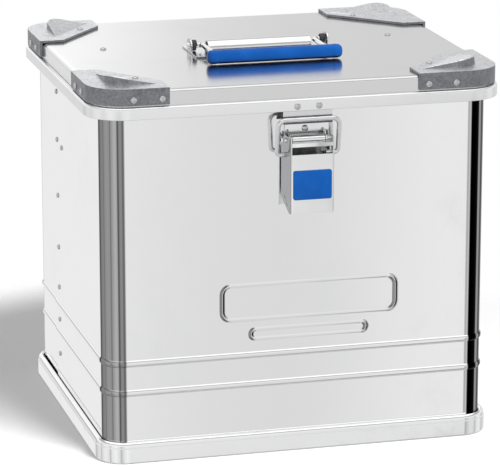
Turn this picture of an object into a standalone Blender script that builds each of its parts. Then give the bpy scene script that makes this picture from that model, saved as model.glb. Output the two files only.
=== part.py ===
"""Aluminium stacking case with a hinged lid, cast stacking corners, a folding lid handle and one toggle latch.

Metres, +Z up, +Y to the back. The origin is the middle of the rectangle that the case stands on.
"""

import math

import bmesh
import bpy
from mathutils import Matrix, Vector

# Overall
LID_WIDTH = 0.432
LID_DEPTH = 0.372
LID_TOP = 0.387
GAP = 0.0003
SHEET = 0.0012
CORNER_STEPS = 6
RIVET_SIDES = 8

# Body
LID_OVERHANG = 0.0145
BODY_RADIUS = 0.022
BEAD_HEIGHTS = (0.073, 0.104)
BEAD_WIDTH = 0.007
BEAD_DEPTH = 0.0016

# Base frame
BASE_OVERHANG = 0.0068
BASE_RADIUS = 0.030
BASE_HEIGHT = 0.0223
BASE_WALL = 0.002
SHELF_TOP = 0.011
SHELF_THICKNESS = 0.0018
FOOT_REACH = 0.0063
LIP_HEIGHT = 0.004
LIP_THICKNESS = 0.0013

# Rim on the body's upper edge
RIM_WALL = 0.0015
RIM_HEIGHT = 0.010

# Lid
LID_BAND = 0.016
LID_SKIRT = 0.0125
LID_STEP = 0.005
LID_RADIUS = 0.040
LID_EDGE = 0.0025
SKIRT_WALL = 0.0014
KEEPER_SLOT = 0.0022
WEB_WALL = 0.0015
FLANGE_THICKNESS = 0.0012
RIM_CLEARANCE = 0.0018
GASKET_THICKNESS = 0.002

# Corner castings
CASTING_WALL = 0.0027
CASTING_PLATE = 0.0025
CASTING_DROP = 0.0145
WING_X_LEFT = 0.078
WING_X_RIGHT = 0.0915
WING_Y = 0.104
WING_END_X = 0.034
WING_END_Y = 0.025
STACK_PLAY = 0.0012
LUG_RADIUS = 0.022
LUG_HEIGHT = 0.009
LUG_FOOT = 0.016
SIDE_RIVET_PITCH = 0.029
SIDE_RIVET_INSET_LEFT = 0.0075
SIDE_RIVET_INSET_RIGHT = 0.010
SIDE_RIVETS_Y = (0.054, 0.082)
SIDE_RIVET_DROP = 0.0086
TOP_RIVET_ALONG = 0.028
TOP_RIVET_INSET = 0.0085

# Rivets
RIVET_SHANK = 0.0018
RIVET_HEAD = 0.0033
RIVET_HEAD_HEIGHT = 0.0015
RIVET_TAIL_HEIGHT = 0.0008

# Lid handle
HANDLE_X = 0.0012
HANDLE_Y = -0.008
HANDLE_REACH = 0.066
HANDLE_PLATE = 0.0015
HANDLE_PLATE_HALF = 0.0745
HANDLE_FLANGE = 0.022
TUNNEL_HALF = 0.0555
TUNNEL_RADIUS = 0.0095
TUNNEL_HEIGHT = 0.012
EAR_HEIGHT = 0.015
HANDLE_WIRE = 0.003
HANDLE_ARM = 0.0605
HANDLE_BEND = 0.005
BUSH_RADIUS = 0.006
GRIP_RADIUS = 0.0072
GRIP_HALF = 0.0718
GRIP_REST_GAP = 0.0006
HANDLE_RIVETS = ((0.044, -0.021), (0.044, 0.021))

# Latch
LATCH_X = 0.0055
LATCH_PLATE = 0.0015
LATCH_PLATE_HALF = 0.021
LATCH_PLATE_DROP = 0.0965
LATCH_PLATE_HEIGHT = 0.082
PIVOT_STANDOFF = 0.013
PIVOT_DROP = 0.0295
PIN_RADIUS = 0.002
BARREL_RADIUS = 0.0045
EAR_INSIDE = 0.0175
LEVER_STANDOFF = 0.0235
LEVER_SHIFT = 0.002
LEVER_HALF = 0.0226
LEVER_FLARE = 0.0045
LEVER_WALL = 0.0015
LEVER_LENGTH = 0.074
LEVER_SLOT_DROPS = (0.0135, 0.0055)
LEVER_BRIDGE_DROP = 0.0018
LEVER_RISE = 0.004
LEVER_BACK_GAP = 0.0012
INLAY_HALF = 0.0200
INLAY_RISE = 0.0145
INLAY_HEIGHT = 0.030
INLAY_THICKNESS = 0.001
BAIL_WIRE = 0.0024
BAIL_HALF = 0.0318
BAIL_DROP = 0.015
BAIL_STANDOFF = 0.011
BAIL_TOP_DROP = 0.008
BAIL_BEND = 0.0075
BAIL_FOOT_BEND = 0.004
BAIL_END = 0.020
KEEPER_HALF = 0.0255
KEEPER_WALL = 0.0015
KEEPER_DROP = 0.013
KEEPER_CURL = 0.0012
KEEPER_GAP = 0.0009
KEEPER_RIVET_HALF = 0.0113
KEEPER_RIVET_RISE = 0.005

# Rear hinges
HINGE_X = 0.115
HINGE_HALF = 0.020
HINGE_LEAF = 0.002
KNUCKLE_RADIUS = 0.004
KNUCKLE_HALF = 0.0068
HINGE_DROP = 0.0065
HINGE_LEAF_HEIGHT = 0.036

# Lid strap tabs
STRAP_X = 0.156
STRAP_Y = 0.033
STRAP_TAB_HALF = (0.010, 0.007)

BODY_X = LID_WIDTH / 2 - LID_OVERHANG
BODY_Y = LID_DEPTH / 2 - LID_OVERHANG
SKIRT_TOP = LID_TOP - LID_BAND
SKIRT_BOTTOM = SKIRT_TOP - LID_SKIRT
BAND_X = LID_WIDTH / 2 - LID_STEP
BAND_Y = LID_DEPTH / 2 - LID_STEP
BAND_RADIUS = LID_RADIUS - LID_STEP + 0.001
RIM_TOP = SKIRT_TOP + 0.0005
SHEET_TOP = RIM_TOP - RIM_WALL + GAP * 0.5
CASTING_X = BAND_X + GAP + CASTING_WALL
CASTING_Y = BAND_Y + GAP + CASTING_WALL
CASTING_RADIUS = BAND_RADIUS + GAP + CASTING_WALL
CASTING_TOP = LID_TOP + GAP + CASTING_PLATE
LEDGE = CASTING_X - BODY_X + FOOT_REACH + STACK_PLAY
PIVOT_Y = -BODY_Y - PIVOT_STANDOFF
PIVOT_Z = SKIRT_BOTTOM - PIVOT_DROP
LATCH_PLATE_BOTTOM = SKIRT_BOTTOM - LATCH_PLATE_DROP
LATCH_PLATE_TOP = LATCH_PLATE_BOTTOM + LATCH_PLATE_HEIGHT
LEVER_BOTTOM = PIVOT_Z - LEVER_LENGTH
LEVER_SLOT = [PIVOT_Z - drop for drop in LEVER_SLOT_DROPS]
LEVER_BRIDGE_TOP = PIVOT_Z - LEVER_BRIDGE_DROP
LEVER_TOP = PIVOT_Z + LEVER_RISE
INLAY_BOTTOM = LEVER_BOTTOM + INLAY_RISE
BAIL_Z = PIVOT_Z - BAIL_DROP
BAIL_TOP_Z = SKIRT_BOTTOM - BAIL_TOP_DROP
KEEPER_BOTTOM = SKIRT_BOTTOM - KEEPER_DROP
KEEPER_RIVET_Z = SKIRT_BOTTOM + KEEPER_RIVET_RISE
LEVER_FRONT = -BODY_Y - LEVER_STANDOFF
LATCH_FRONT = LEVER_FRONT - GAP - INLAY_THICKNESS
HINGE_Y = -LATCH_FRONT - KNUCKLE_RADIUS
HINGE_Z = SKIRT_BOTTOM - HINGE_DROP
AXLE_Z = LID_TOP + GRIP_REST_GAP + GRIP_RADIUS
GRIP_Y = HANDLE_Y - HANDLE_REACH


def clear_scene():
    for obj in list(bpy.data.objects):
        bpy.data.objects.remove(obj, do_unlink=True)


def finish_material(name, color, metallic, roughness):
    material = bpy.data.materials.new(name)
    material.use_nodes = True
    shader = material.node_tree.nodes["Principled BSDF"]
    shader.inputs["Base Color"].default_value = (*color, 1)
    shader.inputs["Metallic"].default_value = metallic
    shader.inputs["Roughness"].default_value = roughness
    return material


FINISHES = {
    "sheet": ((0.80, 0.80, 0.80), 1.0, 0.22),
    "frame": ((0.86, 0.86, 0.85), 1.0, 0.28),
    "casting": ((0.62, 0.63, 0.64), 1.0, 0.42),
    "rivet": ((0.78, 0.78, 0.78), 1.0, 0.25),
    "steel": ((0.70, 0.70, 0.71), 1.0, 0.20),
    "chrome": ((0.82, 0.82, 0.83), 1.0, 0.08),
    "blue": ((0.012, 0.09, 0.45), 0.0, 0.32),
    "rubber": ((0.02, 0.02, 0.02), 0.0, 0.70),
}


def add(name, bm, finish, shift=0.0, smooth=35):
    """Turns a bmesh into a named object with its own material, moved along X by shift."""
    bmesh.ops.recalc_face_normals(bm, faces=bm.faces)
    bmesh.ops.translate(bm, verts=bm.verts, vec=(shift, 0, 0))
    mesh = bpy.data.meshes.new(name)
    bm.to_mesh(mesh)
    bm.free()
    mesh.materials.append(finish_material(name, *FINISHES[finish]))
    mesh.shade_smooth()
    mesh.set_sharp_from_angle(angle=math.radians(smooth))
    obj = bpy.data.objects.new(name, mesh)
    bpy.context.scene.collection.objects.link(obj)
    return obj


def hide(obj):
    obj.hide_render = True
    obj.display_type = "WIRE"
    return obj


def combine(obj, other, operation):
    modifier = obj.modifiers.new(operation.title(), "BOOLEAN")
    modifier.operation = operation
    modifier.solver = "EXACT"
    modifier.object = hide(other)


def hang(obj, parent):
    """Parents an object to an empty without moving it."""
    obj.parent = parent
    obj.matrix_parent_inverse = parent.matrix_world.inverted()


def axis_empty(name, location):
    empty = bpy.data.objects.new(name, None)
    empty.location = location
    bpy.context.scene.collection.objects.link(empty)
    bpy.context.view_layer.update()
    return empty


# Shapes


def rounded_loop(half_x, half_y, radius, z):
    """Points of a rounded rectangle, anticlockwise from the +X side."""
    points = []
    for corner in range(4):
        start = corner * math.pi / 2
        sign_x = 1 if corner in (0, 3) else -1
        sign_y = 1 if corner in (0, 1) else -1
        centre = Vector((sign_x * (half_x - radius), sign_y * (half_y - radius), z))
        for step in range(CORNER_STEPS + 1):
            angle = start + step * math.pi / 2 / CORNER_STEPS
            points.append(centre + radius * Vector((math.cos(angle), math.sin(angle), 0)))
    return points


def body_loop(offset, radius, z):
    """A rounded rectangle that stands offset outside the body's sheet."""
    return rounded_loop(BODY_X + offset, BODY_Y + offset, radius, z)


def skin(bm, loops, closed):
    """Joins loops of equal length with faces; an open row of loops gets an end cap at each end."""
    rows = [[bm.verts.new(point) for point in loop] for loop in loops]
    pairs = list(zip(rows, rows[1:]))
    if closed:
        pairs.append((rows[-1], rows[0]))
    else:
        bm.faces.new(rows[0])
        bm.faces.new(rows[-1])
    for low, high in pairs:
        for i in range(len(low)):
            j = (i + 1) % len(low)
            bm.faces.new((low[i], low[j], high[j], high[i]))


def ring(name, profile, finish):
    """A frame that follows the body's outline, from a closed profile of (offset, corner radius, height)."""
    bm = bmesh.new()
    skin(bm, [body_loop(*point) for point in profile], closed=True)
    return add(name, bm, finish)


def box(bm, low, high):
    low, high = Vector(low), Vector(high)
    centre = Matrix.Translation((low + high) / 2)
    scale = Matrix.Diagonal((*(high - low), 1))
    bmesh.ops.create_cube(bm, size=1, matrix=centre @ scale)


def circle(radius, sides):
    return [
        (radius * math.cos(math.tau * k / sides), radius * math.sin(math.tau * k / sides))
        for k in range(sides)
    ]


def turned(bm, profile, sides, matrix):
    """A solid of revolution about the matrix's Z axis, from (radius, height) pairs; both ends are capped."""
    loops = []
    for radius, height in profile:
        loops.append([matrix @ Vector((x, y, height)) for x, y in circle(radius, sides)])
    skin(bm, loops, closed=False)


def along(direction, origin):
    """A matrix whose Z axis points along direction, from origin."""
    return Matrix.Translation(origin) @ Vector(direction).to_track_quat("Z", "Y").to_matrix().to_4x4()


def extruded(bm, outline, low, high, place):
    """An outline of (a, b) pairs drawn out from low to high; place turns (a, b, depth) into a point."""
    skin(bm, [[place(a, b, depth) for a, b in outline] for depth in (low, high)], closed=False)


def across_x(a, b, depth):
    return Vector((depth, a, b))


def upwards(a, b, depth):
    return Vector((a, b, depth))


def bent(points, radii, steps):
    """A path through points with each inner corner rounded to its radius."""
    path = [Vector(points[0])]
    for before, corner, after, radius in zip(points, points[1:], points[2:], radii):
        before, corner, after = Vector(before), Vector(corner), Vector(after)
        into, out = (corner - before).normalized(), (after - corner).normalized()
        half_turn = into.angle(out) / 2
        reach = radius * math.tan(half_turn)
        start = corner - into * reach
        centre = corner + (out - into).normalized() * (radius / math.cos(half_turn))
        normal = into.cross(out).normalized()
        for step in range(steps + 1):
            turn = Matrix.Rotation(2 * half_turn * step / steps, 3, normal)
            path.append(centre + turn @ (start - centre))
    path.append(Vector(points[-1]))
    return path


def wire(bm, path, radius, sides):
    """A round wire along a path that lies in one plane."""
    normal = None
    for before, here, after in zip(path, path[1:], path[2:]):
        turn = (here - before).cross(after - here)
        if turn.length > 1e-9:
            normal = turn.normalized()
            break
    loops = []
    for i, point in enumerate(path):
        ahead = path[min(i + 1, len(path) - 1)] - path[max(i - 1, 0)]
        side = ahead.normalized().cross(normal)
        loops.append([point + side * x + normal * y for x, y in circle(radius, sides)])
    skin(bm, loops, closed=False)


# Rivets and their holes


def rivet(name, surface, outward, grip, parent):
    """A rivet whose head stands on a face at surface and whose tail closes grip below it."""
    bm = bmesh.new()
    profile = (
        (RIVET_HEAD * 0.45, RIVET_HEAD_HEIGHT),
        (RIVET_HEAD, RIVET_HEAD_HEIGHT * 0.45),
        (RIVET_HEAD, GAP),
        (RIVET_SHANK, GAP),
        (RIVET_SHANK, -grip - GAP),
        (RIVET_HEAD * 0.8, -grip - GAP),
        (RIVET_HEAD * 0.8, -grip - GAP - RIVET_TAIL_HEIGHT),
    )
    turned(bm, profile, RIVET_SIDES, along(outward, surface))
    obj = add(name, bm, "rivet")
    hang(obj, parent)
    return obj


def drill(obj, holes, radius=None):
    """Cuts round holes through an object; each hole is a point on its face, its direction and its depth."""
    radius = radius or RIVET_SHANK + GAP
    bm = bmesh.new()
    for surface, outward, depth in holes:
        turned(bm, ((radius, 0.001), (radius, -depth - 0.001)), RIVET_SIDES, along(outward, surface))
    combine(obj, add(obj.name + "_holes", bm, "rivet"), "DIFFERENCE")


# Body


def bead_offsets():
    """Heights and offsets of the sheet, with a half-round bead pressed outwards at each bead height."""
    rows = []
    for height in BEAD_HEIGHTS:
        for share, push in ((-0.5, 0), (-0.28, 0.75), (0, 1), (0.28, 0.75), (0.5, 0)):
            rows.append((height + share * BEAD_WIDTH, push * BEAD_DEPTH))
    return rows


def make_body_shell():
    rows = [(SHELF_TOP + GAP, 0), *bead_offsets(), (SHEET_TOP, 0)]
    outside = [body_loop(push, BODY_RADIUS + push, z) for z, push in rows]
    inside = [body_loop(push - SHEET, BODY_RADIUS + push - SHEET, z) for z, push in reversed(rows)]
    bm = bmesh.new()
    skin(bm, outside + inside, closed=True)
    return add("body_shell", bm, "sheet")


def make_bottom_panel():
    offset = -SHEET - GAP - LIP_THICKNESS - GAP
    low = SHELF_TOP + GAP
    bm = bmesh.new()
    loops = [body_loop(offset, BODY_RADIUS + offset, z) for z in (low, low + SHEET)]
    skin(bm, loops, closed=False)
    return add("bottom_panel", bm, "sheet")


def make_base_frame():
    out = BASE_OVERHANG
    groove_in = -SHEET - GAP
    lip_in = groove_in - LIP_THICKNESS
    wall = out - BASE_WALL
    shelf_low = SHELF_TOP - SHELF_THICKNESS
    inner = BODY_RADIUS
    profile = (
        (-FOOT_REACH, inner - FOOT_REACH, 0),
        (out - 0.0018, BASE_RADIUS - 0.0018, 0),
        (out, BASE_RADIUS, 0.0018),
        (out, BASE_RADIUS, BASE_HEIGHT - 0.0036),
        (out - 0.0012, BASE_RADIUS - 0.0012, BASE_HEIGHT - 0.0010),
        (out - 0.0036, BASE_RADIUS - 0.0036, BASE_HEIGHT),
        (GAP + 0.0008, inner + GAP + 0.0008, BASE_HEIGHT - 0.0006),
        (GAP, inner + GAP, BASE_HEIGHT - 0.0020),
        (GAP, inner + GAP, SHELF_TOP),
        (groove_in, inner + groove_in, SHELF_TOP),
        (groove_in, inner + groove_in, SHELF_TOP + LIP_HEIGHT),
        (lip_in, inner + lip_in, SHELF_TOP + LIP_HEIGHT),
        (lip_in, inner + lip_in, SHELF_TOP),
        (-FOOT_REACH, inner - FOOT_REACH, SHELF_TOP),
        (-FOOT_REACH, inner - FOOT_REACH, shelf_low),
        (wall, BASE_RADIUS - BASE_WALL, shelf_low),
        (wall, BASE_RADIUS - BASE_WALL, BASE_WALL),
        (-FOOT_REACH, inner - FOOT_REACH, BASE_WALL),
    )
    return ring("base_frame", profile, "frame")


def make_body_rim():
    inner_leg = -SHEET - GAP
    outside = GAP + RIM_WALL
    inside = inner_leg - RIM_WALL
    legs = RIM_TOP - RIM_HEIGHT
    under = SHEET_TOP + GAP
    radius = BODY_RADIUS
    profile = (
        (GAP, radius + GAP, legs),
        (outside, radius + outside, legs),
        (outside, radius + outside, RIM_TOP - 0.0008),
        (outside - 0.0008, radius + outside - 0.0008, RIM_TOP),
        (inside + 0.0008, radius + inside + 0.0008, RIM_TOP),
        (inside, radius + inside, RIM_TOP - 0.0008),
        (inside, radius + inside, legs),
        (inner_leg, radius + inner_leg, legs),
        (inner_leg, radius + inner_leg, under),
        (GAP, radius + GAP, under),
    )
    return ring("body_rim", profile, "frame")


# Lid


def make_lid_panel():
    low = SKIRT_TOP - 0.0074
    rounds = [(0, 0)] if LID_EDGE <= SHEET else [(1 - math.cos(a), 1 - math.sin(a)) for a in (0, 0.52, 1.05)]
    outside, inside = [], []
    for share_in, share_down in rounds:
        inset = share_in * LID_EDGE
        z = LID_TOP - share_down * LID_EDGE
        outside.append(rounded_loop(BAND_X - inset, BAND_Y - inset, BAND_RADIUS - inset, z))
    outside.insert(0, rounded_loop(BAND_X, BAND_Y, BAND_RADIUS, low))
    outside.append(rounded_loop(BAND_X - LID_EDGE, BAND_Y - LID_EDGE, BAND_RADIUS - LID_EDGE, LID_TOP))
    inner_x, inner_y, inner_radius = BAND_X - SHEET, BAND_Y - SHEET, BAND_RADIUS - SHEET
    inside.append(rounded_loop(inner_x, inner_y, inner_radius, low))
    inside.append(rounded_loop(inner_x, inner_y, inner_radius, LID_TOP - LID_EDGE))
    edge = LID_EDGE - SHEET
    inside.append(rounded_loop(inner_x - edge, inner_y - edge, inner_radius - edge, LID_TOP - SHEET))
    bm = bmesh.new()
    skin(bm, outside[::-1] + inside, closed=False)
    return add("lid_panel", bm, "sheet")


def make_lid_frame():
    out = LID_OVERHANG
    band = out - LID_STEP
    groove_out = band + GAP
    groove_in = band - SHEET - GAP
    web = groove_in - WEB_WALL
    slot_out = out - SKIRT_WALL
    slot_in = slot_out - KEEPER_SLOT
    mouth = GAP + RIM_WALL + RIM_CLEARANCE
    seat = -SHEET - GAP - RIM_WALL - 0.0007
    groove_floor = SKIRT_TOP - 0.0077
    gasket_top = RIM_TOP + GAP + GASKET_THICKNESS + GAP
    flange_top = gasket_top + FLANGE_THICKNESS
    band_arc = BAND_RADIUS - band
    skirt_arc = LID_RADIUS - out
    profile = (
        (out, skirt_arc + out, SKIRT_BOTTOM + 0.0007),
        (out, skirt_arc + out, SKIRT_TOP - 0.0024),
        (out - 0.0007, skirt_arc + out - 0.0007, SKIRT_TOP - 0.0007),
        (out - 0.0023, skirt_arc + out - 0.0023, SKIRT_TOP),
        (groove_out, band_arc + groove_out, SKIRT_TOP),
        (groove_out, band_arc + groove_out, groove_floor),
        (groove_in, band_arc + groove_in, groove_floor),
        (groove_in, band_arc + groove_in, flange_top),
        (seat, BODY_RADIUS + seat, flange_top),
        (seat, BODY_RADIUS + seat, gasket_top),
        (web, band_arc + web, gasket_top),
        (web, band_arc + web, SKIRT_BOTTOM + 0.0033),
        (mouth, 0.027, SKIRT_BOTTOM + 0.0033),
        (mouth, 0.027, SKIRT_BOTTOM + 0.0018),
        (slot_in, skirt_arc + slot_in, SKIRT_BOTTOM + 0.0018),
        (slot_in, skirt_arc + slot_in, SKIRT_TOP - 0.0016),
        (slot_out, skirt_arc + slot_out, SKIRT_TOP - 0.0016),
        (slot_out, skirt_arc + slot_out, SKIRT_BOTTOM),
        (out - 0.0007, skirt_arc + out - 0.0007, SKIRT_BOTTOM),
    )
    return ring("lid_frame", profile, "frame")


def make_lid_gasket():
    outer = LID_OVERHANG - LID_STEP - SHEET - GAP - WEB_WALL - GAP
    inner = -SHEET - GAP - RIM_WALL + 0.0001
    low = RIM_TOP + GAP
    outer_radius = BAND_RADIUS - (LID_OVERHANG - LID_STEP) + outer
    profile = (
        (outer, outer_radius, low),
        (outer, outer_radius, low + GASKET_THICKNESS),
        (inner, BODY_RADIUS + inner, low + GASKET_THICKNESS),
        (inner, BODY_RADIUS + inner, low),
    )
    return ring("lid_gasket", profile, "rubber")


# Corner castings


def wing_x(sign_x):
    return WING_X_RIGHT if sign_x > 0 else WING_X_LEFT


def casting_slope(sign_x):
    """The direction of the plate's slanted inner edge, and the direction from it to the outer corner."""
    slope = Vector((WING_END_Y - wing_x(sign_x), WING_Y - WING_END_X)).normalized()
    return slope, Vector((-slope.y, -abs(slope.x)))


def casting_outline(sign_x, inset, reach):
    """The casting's plan from its outer corner: (along X, along Y), with its outer edges moved in by inset."""
    radius = CASTING_RADIUS - inset
    wing = wing_x(sign_x)
    points = [(wing + reach, inset)]
    for step in range(CORNER_STEPS + 1):
        angle = -math.pi / 2 - step * math.pi / 2 / CORNER_STEPS
        points.append((inset + radius + radius * math.cos(angle), inset + radius + radius * math.sin(angle)))
    points.append((inset, WING_Y + reach))
    points.append((WING_END_Y + reach, WING_Y + reach))
    points.append((wing + reach, WING_END_X + reach))
    return points


def lug_outline(sign_x):
    """The raised lug's plan, and each point's distance from the line where its slope meets the plate."""
    slope, inward = casting_slope(sign_x)
    start = Vector((wing_x(sign_x), WING_END_X)) + inward * LUG_FOOT
    end = start + slope * ((LEDGE - start.x) / slope.x)
    begin = start + slope * ((LEDGE - start.y) / slope.y)
    points = [begin]
    for step in range(CORNER_STEPS + 1):
        angle = -math.pi / 2 - step * math.pi / 2 / CORNER_STEPS
        centre = LEDGE + LUG_RADIUS
        points.append(Vector((centre + LUG_RADIUS * math.cos(angle), centre + LUG_RADIUS * math.sin(angle))))
    points.append(end)
    return [(point, (point - start).dot(inward)) for point in points]


def corner_place(sign_x, sign_y):
    def place(along_x, along_y, z):
        return Vector((sign_x * (CASTING_X - along_x), sign_y * (CASTING_Y - along_y), z))

    return place


def make_casting(name, sign_x, sign_y):
    place = corner_place(sign_x, sign_y)
    bm = bmesh.new()
    extruded(bm, casting_outline(sign_x, 0, 0), LID_TOP - CASTING_DROP, CASTING_TOP, place)
    casting = add(name, bm, "casting")
    bm = bmesh.new()
    hollow_top = LID_TOP + GAP
    outline = casting_outline(sign_x, CASTING_WALL, 0.004)
    extruded(bm, outline, LID_TOP - CASTING_DROP - 0.004, hollow_top, place)
    combine(casting, add(name + "_hollow", bm, "casting"), "DIFFERENCE")
    outline = lug_outline(sign_x)
    farthest = max(distance for _, distance in outline)
    bm = bmesh.new()
    root = [place(point.x, point.y, CASTING_TOP - CASTING_PLATE / 2) for point, _ in outline]
    crown = [
        place(point.x, point.y, CASTING_TOP + LUG_HEIGHT * max(distance, 0) / farthest)
        for point, distance in outline
    ]
    skin(bm, [root, crown], closed=False)
    combine(casting, add(name + "_lug", bm, "casting"), "UNION")
    return casting


def casting_rivet_places(sign_x, sign_y):
    """(suffix, point on the casting's face, outward direction, is it on top) of each rivet of one corner."""
    place = corner_place(sign_x, sign_y)
    z = LID_TOP - SIDE_RIVET_DROP
    places = []
    outer = wing_x(sign_x) - (SIDE_RIVET_INSET_RIGHT if sign_x > 0 else SIDE_RIVET_INSET_LEFT)
    for number, reach in enumerate((outer - SIDE_RIVET_PITCH, outer), 1):
        places.append((f"x{number}", place(reach, 0, z), (0, sign_y, 0), False))
    for number, reach in enumerate(SIDE_RIVETS_Y, 1):
        places.append((f"y{number}", place(0, reach, z), (sign_x, 0, 0), False))
    slope, inward = casting_slope(sign_x)
    top = Vector((wing_x(sign_x), WING_END_X)) + slope * TOP_RIVET_ALONG + inward * TOP_RIVET_INSET
    places.append(("top", place(top.x, top.y, CASTING_TOP), (0, 0, 1), True))
    return places


# Lid handle


def handle_path():
    points = (
        (HANDLE_PLATE_HALF + 0.0025, HANDLE_Y, AXLE_Z),
        (HANDLE_ARM, HANDLE_Y, AXLE_Z),
        (HANDLE_ARM, GRIP_Y, AXLE_Z),
        (-HANDLE_ARM, GRIP_Y, AXLE_Z),
        (-HANDLE_ARM, HANDLE_Y, AXLE_Z),
        (-HANDLE_PLATE_HALF - 0.0025, HANDLE_Y, AXLE_Z),
    )
    return bent(points, (HANDLE_BEND,) * 4, 3)


def tunnel_outline():
    """The bracket's section, (y, z): a rear flange, a half-round tunnel and a front flange, all one sheet."""
    low, high = LID_TOP + GAP, LID_TOP + GAP + HANDLE_PLATE
    centre = low + TUNNEL_HEIGHT - TUNNEL_RADIUS
    inner = TUNNEL_RADIUS - HANDLE_PLATE
    back, front = HANDLE_Y + TUNNEL_RADIUS, HANDLE_Y - TUNNEL_RADIUS
    steps = 6
    arc = [math.pi * k / steps for k in range(steps + 1)]
    over = [(HANDLE_Y + TUNNEL_RADIUS * math.cos(a), centre + TUNNEL_RADIUS * math.sin(a)) for a in arc]
    under = [(HANDLE_Y + inner * math.cos(a), centre + inner * math.sin(a)) for a in reversed(arc)]
    outline = [(back + HANDLE_FLANGE, low), (back + HANDLE_FLANGE, high), (back, high)]
    outline += over
    outline += [(front, high), (front - HANDLE_FLANGE, high), (front - HANDLE_FLANGE, low)]
    outline += [(front + HANDLE_PLATE, low)] + under + [(back - HANDLE_PLATE, low)]
    return outline


def make_handle_bracket():
    low, high = LID_TOP + GAP, LID_TOP + GAP + HANDLE_PLATE
    back = HANDLE_Y + TUNNEL_RADIUS + HANDLE_FLANGE
    front = HANDLE_Y - TUNNEL_RADIUS - HANDLE_FLANGE
    bm = bmesh.new()
    extruded(bm, tunnel_outline(), -TUNNEL_HALF, TUNNEL_HALF, across_x)
    bracket = add("handle_bracket", bm, "steel", HANDLE_X)
    for side, sign in (("left", -1), ("right", 1)):
        inner, outer = sorted((sign * (TUNNEL_HALF - 0.004), sign * HANDLE_PLATE_HALF))
        bm = bmesh.new()
        box(bm, (inner, front, low), (outer, back, high))
        combine(bracket, add(f"handle_foot_{side}", bm, "steel", HANDLE_X), "UNION")
        ear_in, ear_out = sorted((sign * (HANDLE_PLATE_HALF - HANDLE_PLATE), sign * HANDLE_PLATE_HALF))
        half = BUSH_RADIUS + 0.0035
        top = low + EAR_HEIGHT
        outline = [
            (HANDLE_Y - half, low + 0.0005),
            (HANDLE_Y + half, low + 0.0005),
            (HANDLE_Y + half, top - 0.004),
            (HANDLE_Y + half - 0.004, top),
            (HANDLE_Y - half + 0.004, top),
            (HANDLE_Y - half, top - 0.004),
        ]
        bm = bmesh.new()
        extruded(bm, outline, ear_in, ear_out, across_x)
        combine(bracket, add(f"handle_ear_{side}", bm, "steel", HANDLE_X), "UNION")
    hole = HANDLE_WIRE + GAP * 1.3
    point = (HANDLE_PLATE_HALF + 0.002, HANDLE_Y, AXLE_Z)
    holes = [(point, (1, 0, 0), 0.006), ((-point[0], *point[1:]), (-1, 0, 0), 0.006)]
    bm = bmesh.new()
    for surface, outward, depth in holes:
        turned(bm, ((hole, 0.001), (hole, -depth)), 12, along(outward, surface))
    combine(bracket, add("handle_axle_holes", bm, "steel", HANDLE_X), "DIFFERENCE")
    return bracket


def make_handle_bush(side, sign):
    inner, outer = HANDLE_ARM + HANDLE_BEND + 0.0012, HANDLE_PLATE_HALF - HANDLE_PLATE - GAP
    bore = HANDLE_WIRE + GAP * 1.2
    sides = 12
    loops = []
    for radius, x in ((BUSH_RADIUS, inner), (BUSH_RADIUS, outer), (bore, outer), (bore, inner)):
        loops.append([Vector((sign * x, HANDLE_Y + a, AXLE_Z + b)) for a, b in circle(radius, sides)])
    bm = bmesh.new()
    skin(bm, loops, closed=True)
    return add(f"handle_bush_{side}", bm, "rubber", HANDLE_X)


def make_handle_bail():
    bm = bmesh.new()
    wire(bm, handle_path(), HANDLE_WIRE, 10)
    return add("handle_bail", bm, "chrome", HANDLE_X)


def make_handle_grip():
    bm = bmesh.new()
    r = GRIP_RADIUS
    profile = [(r * math.sin(a), GRIP_HALF - r + r * math.cos(a)) for a in (0.25, 0.75, 1.2)]
    profile += [(r, GRIP_HALF - r), (r, r - GRIP_HALF)]
    profile += [(r * math.sin(a), r - GRIP_HALF - r * math.cos(a)) for a in (1.2, 0.75, 0.25)]
    turned(bm, profile, 16, along((1, 0, 0), (0, GRIP_Y, AXLE_Z)))
    grip = add("handle_grip", bm, "blue", HANDLE_X)
    bm = bmesh.new()
    wire(bm, handle_path(), HANDLE_WIRE + GAP, 10)
    combine(grip, add("handle_grip_core", bm, "blue", HANDLE_X), "DIFFERENCE")
    return grip


# Latch


def make_latch_base():
    back = -BODY_Y - GAP
    front = back - LATCH_PLATE
    half = LATCH_PLATE_HALF
    bm = bmesh.new()
    box(bm, (-half, front, LATCH_PLATE_BOTTOM), (half, back, LATCH_PLATE_TOP))
    base = add("latch_base", bm, "steel", LATCH_X)
    reach = PIN_RADIUS + 0.0025
    for side, sign in (("left", -1), ("right", 1)):
        low, high = sorted((sign * EAR_INSIDE, sign * (EAR_INSIDE + LATCH_PLATE)))
        outline = [
            (front + 0.0005, PIVOT_Z - 0.009),
            (PIVOT_Y - reach * 0.5, PIVOT_Z - reach),
            (PIVOT_Y - reach, PIVOT_Z - reach * 0.5),
            (PIVOT_Y - reach, PIVOT_Z + reach * 0.5),
            (PIVOT_Y - reach * 0.5, PIVOT_Z + reach),
            (front + 0.0005, PIVOT_Z + 0.009),
        ]
        bm = bmesh.new()
        extruded(bm, outline, low, high, across_x)
        combine(base, add(f"latch_ear_{side}", bm, "steel", LATCH_X), "UNION")
    bm = bmesh.new()
    turned(bm, ((PIN_RADIUS + GAP, 0.03), (PIN_RADIUS + GAP, -0.03)), 12, along((1, 0, 0), (0, PIVOT_Y, PIVOT_Z)))
    combine(base, add("latch_pin_hole", bm, "steel"), "DIFFERENCE")
    return base


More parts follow.
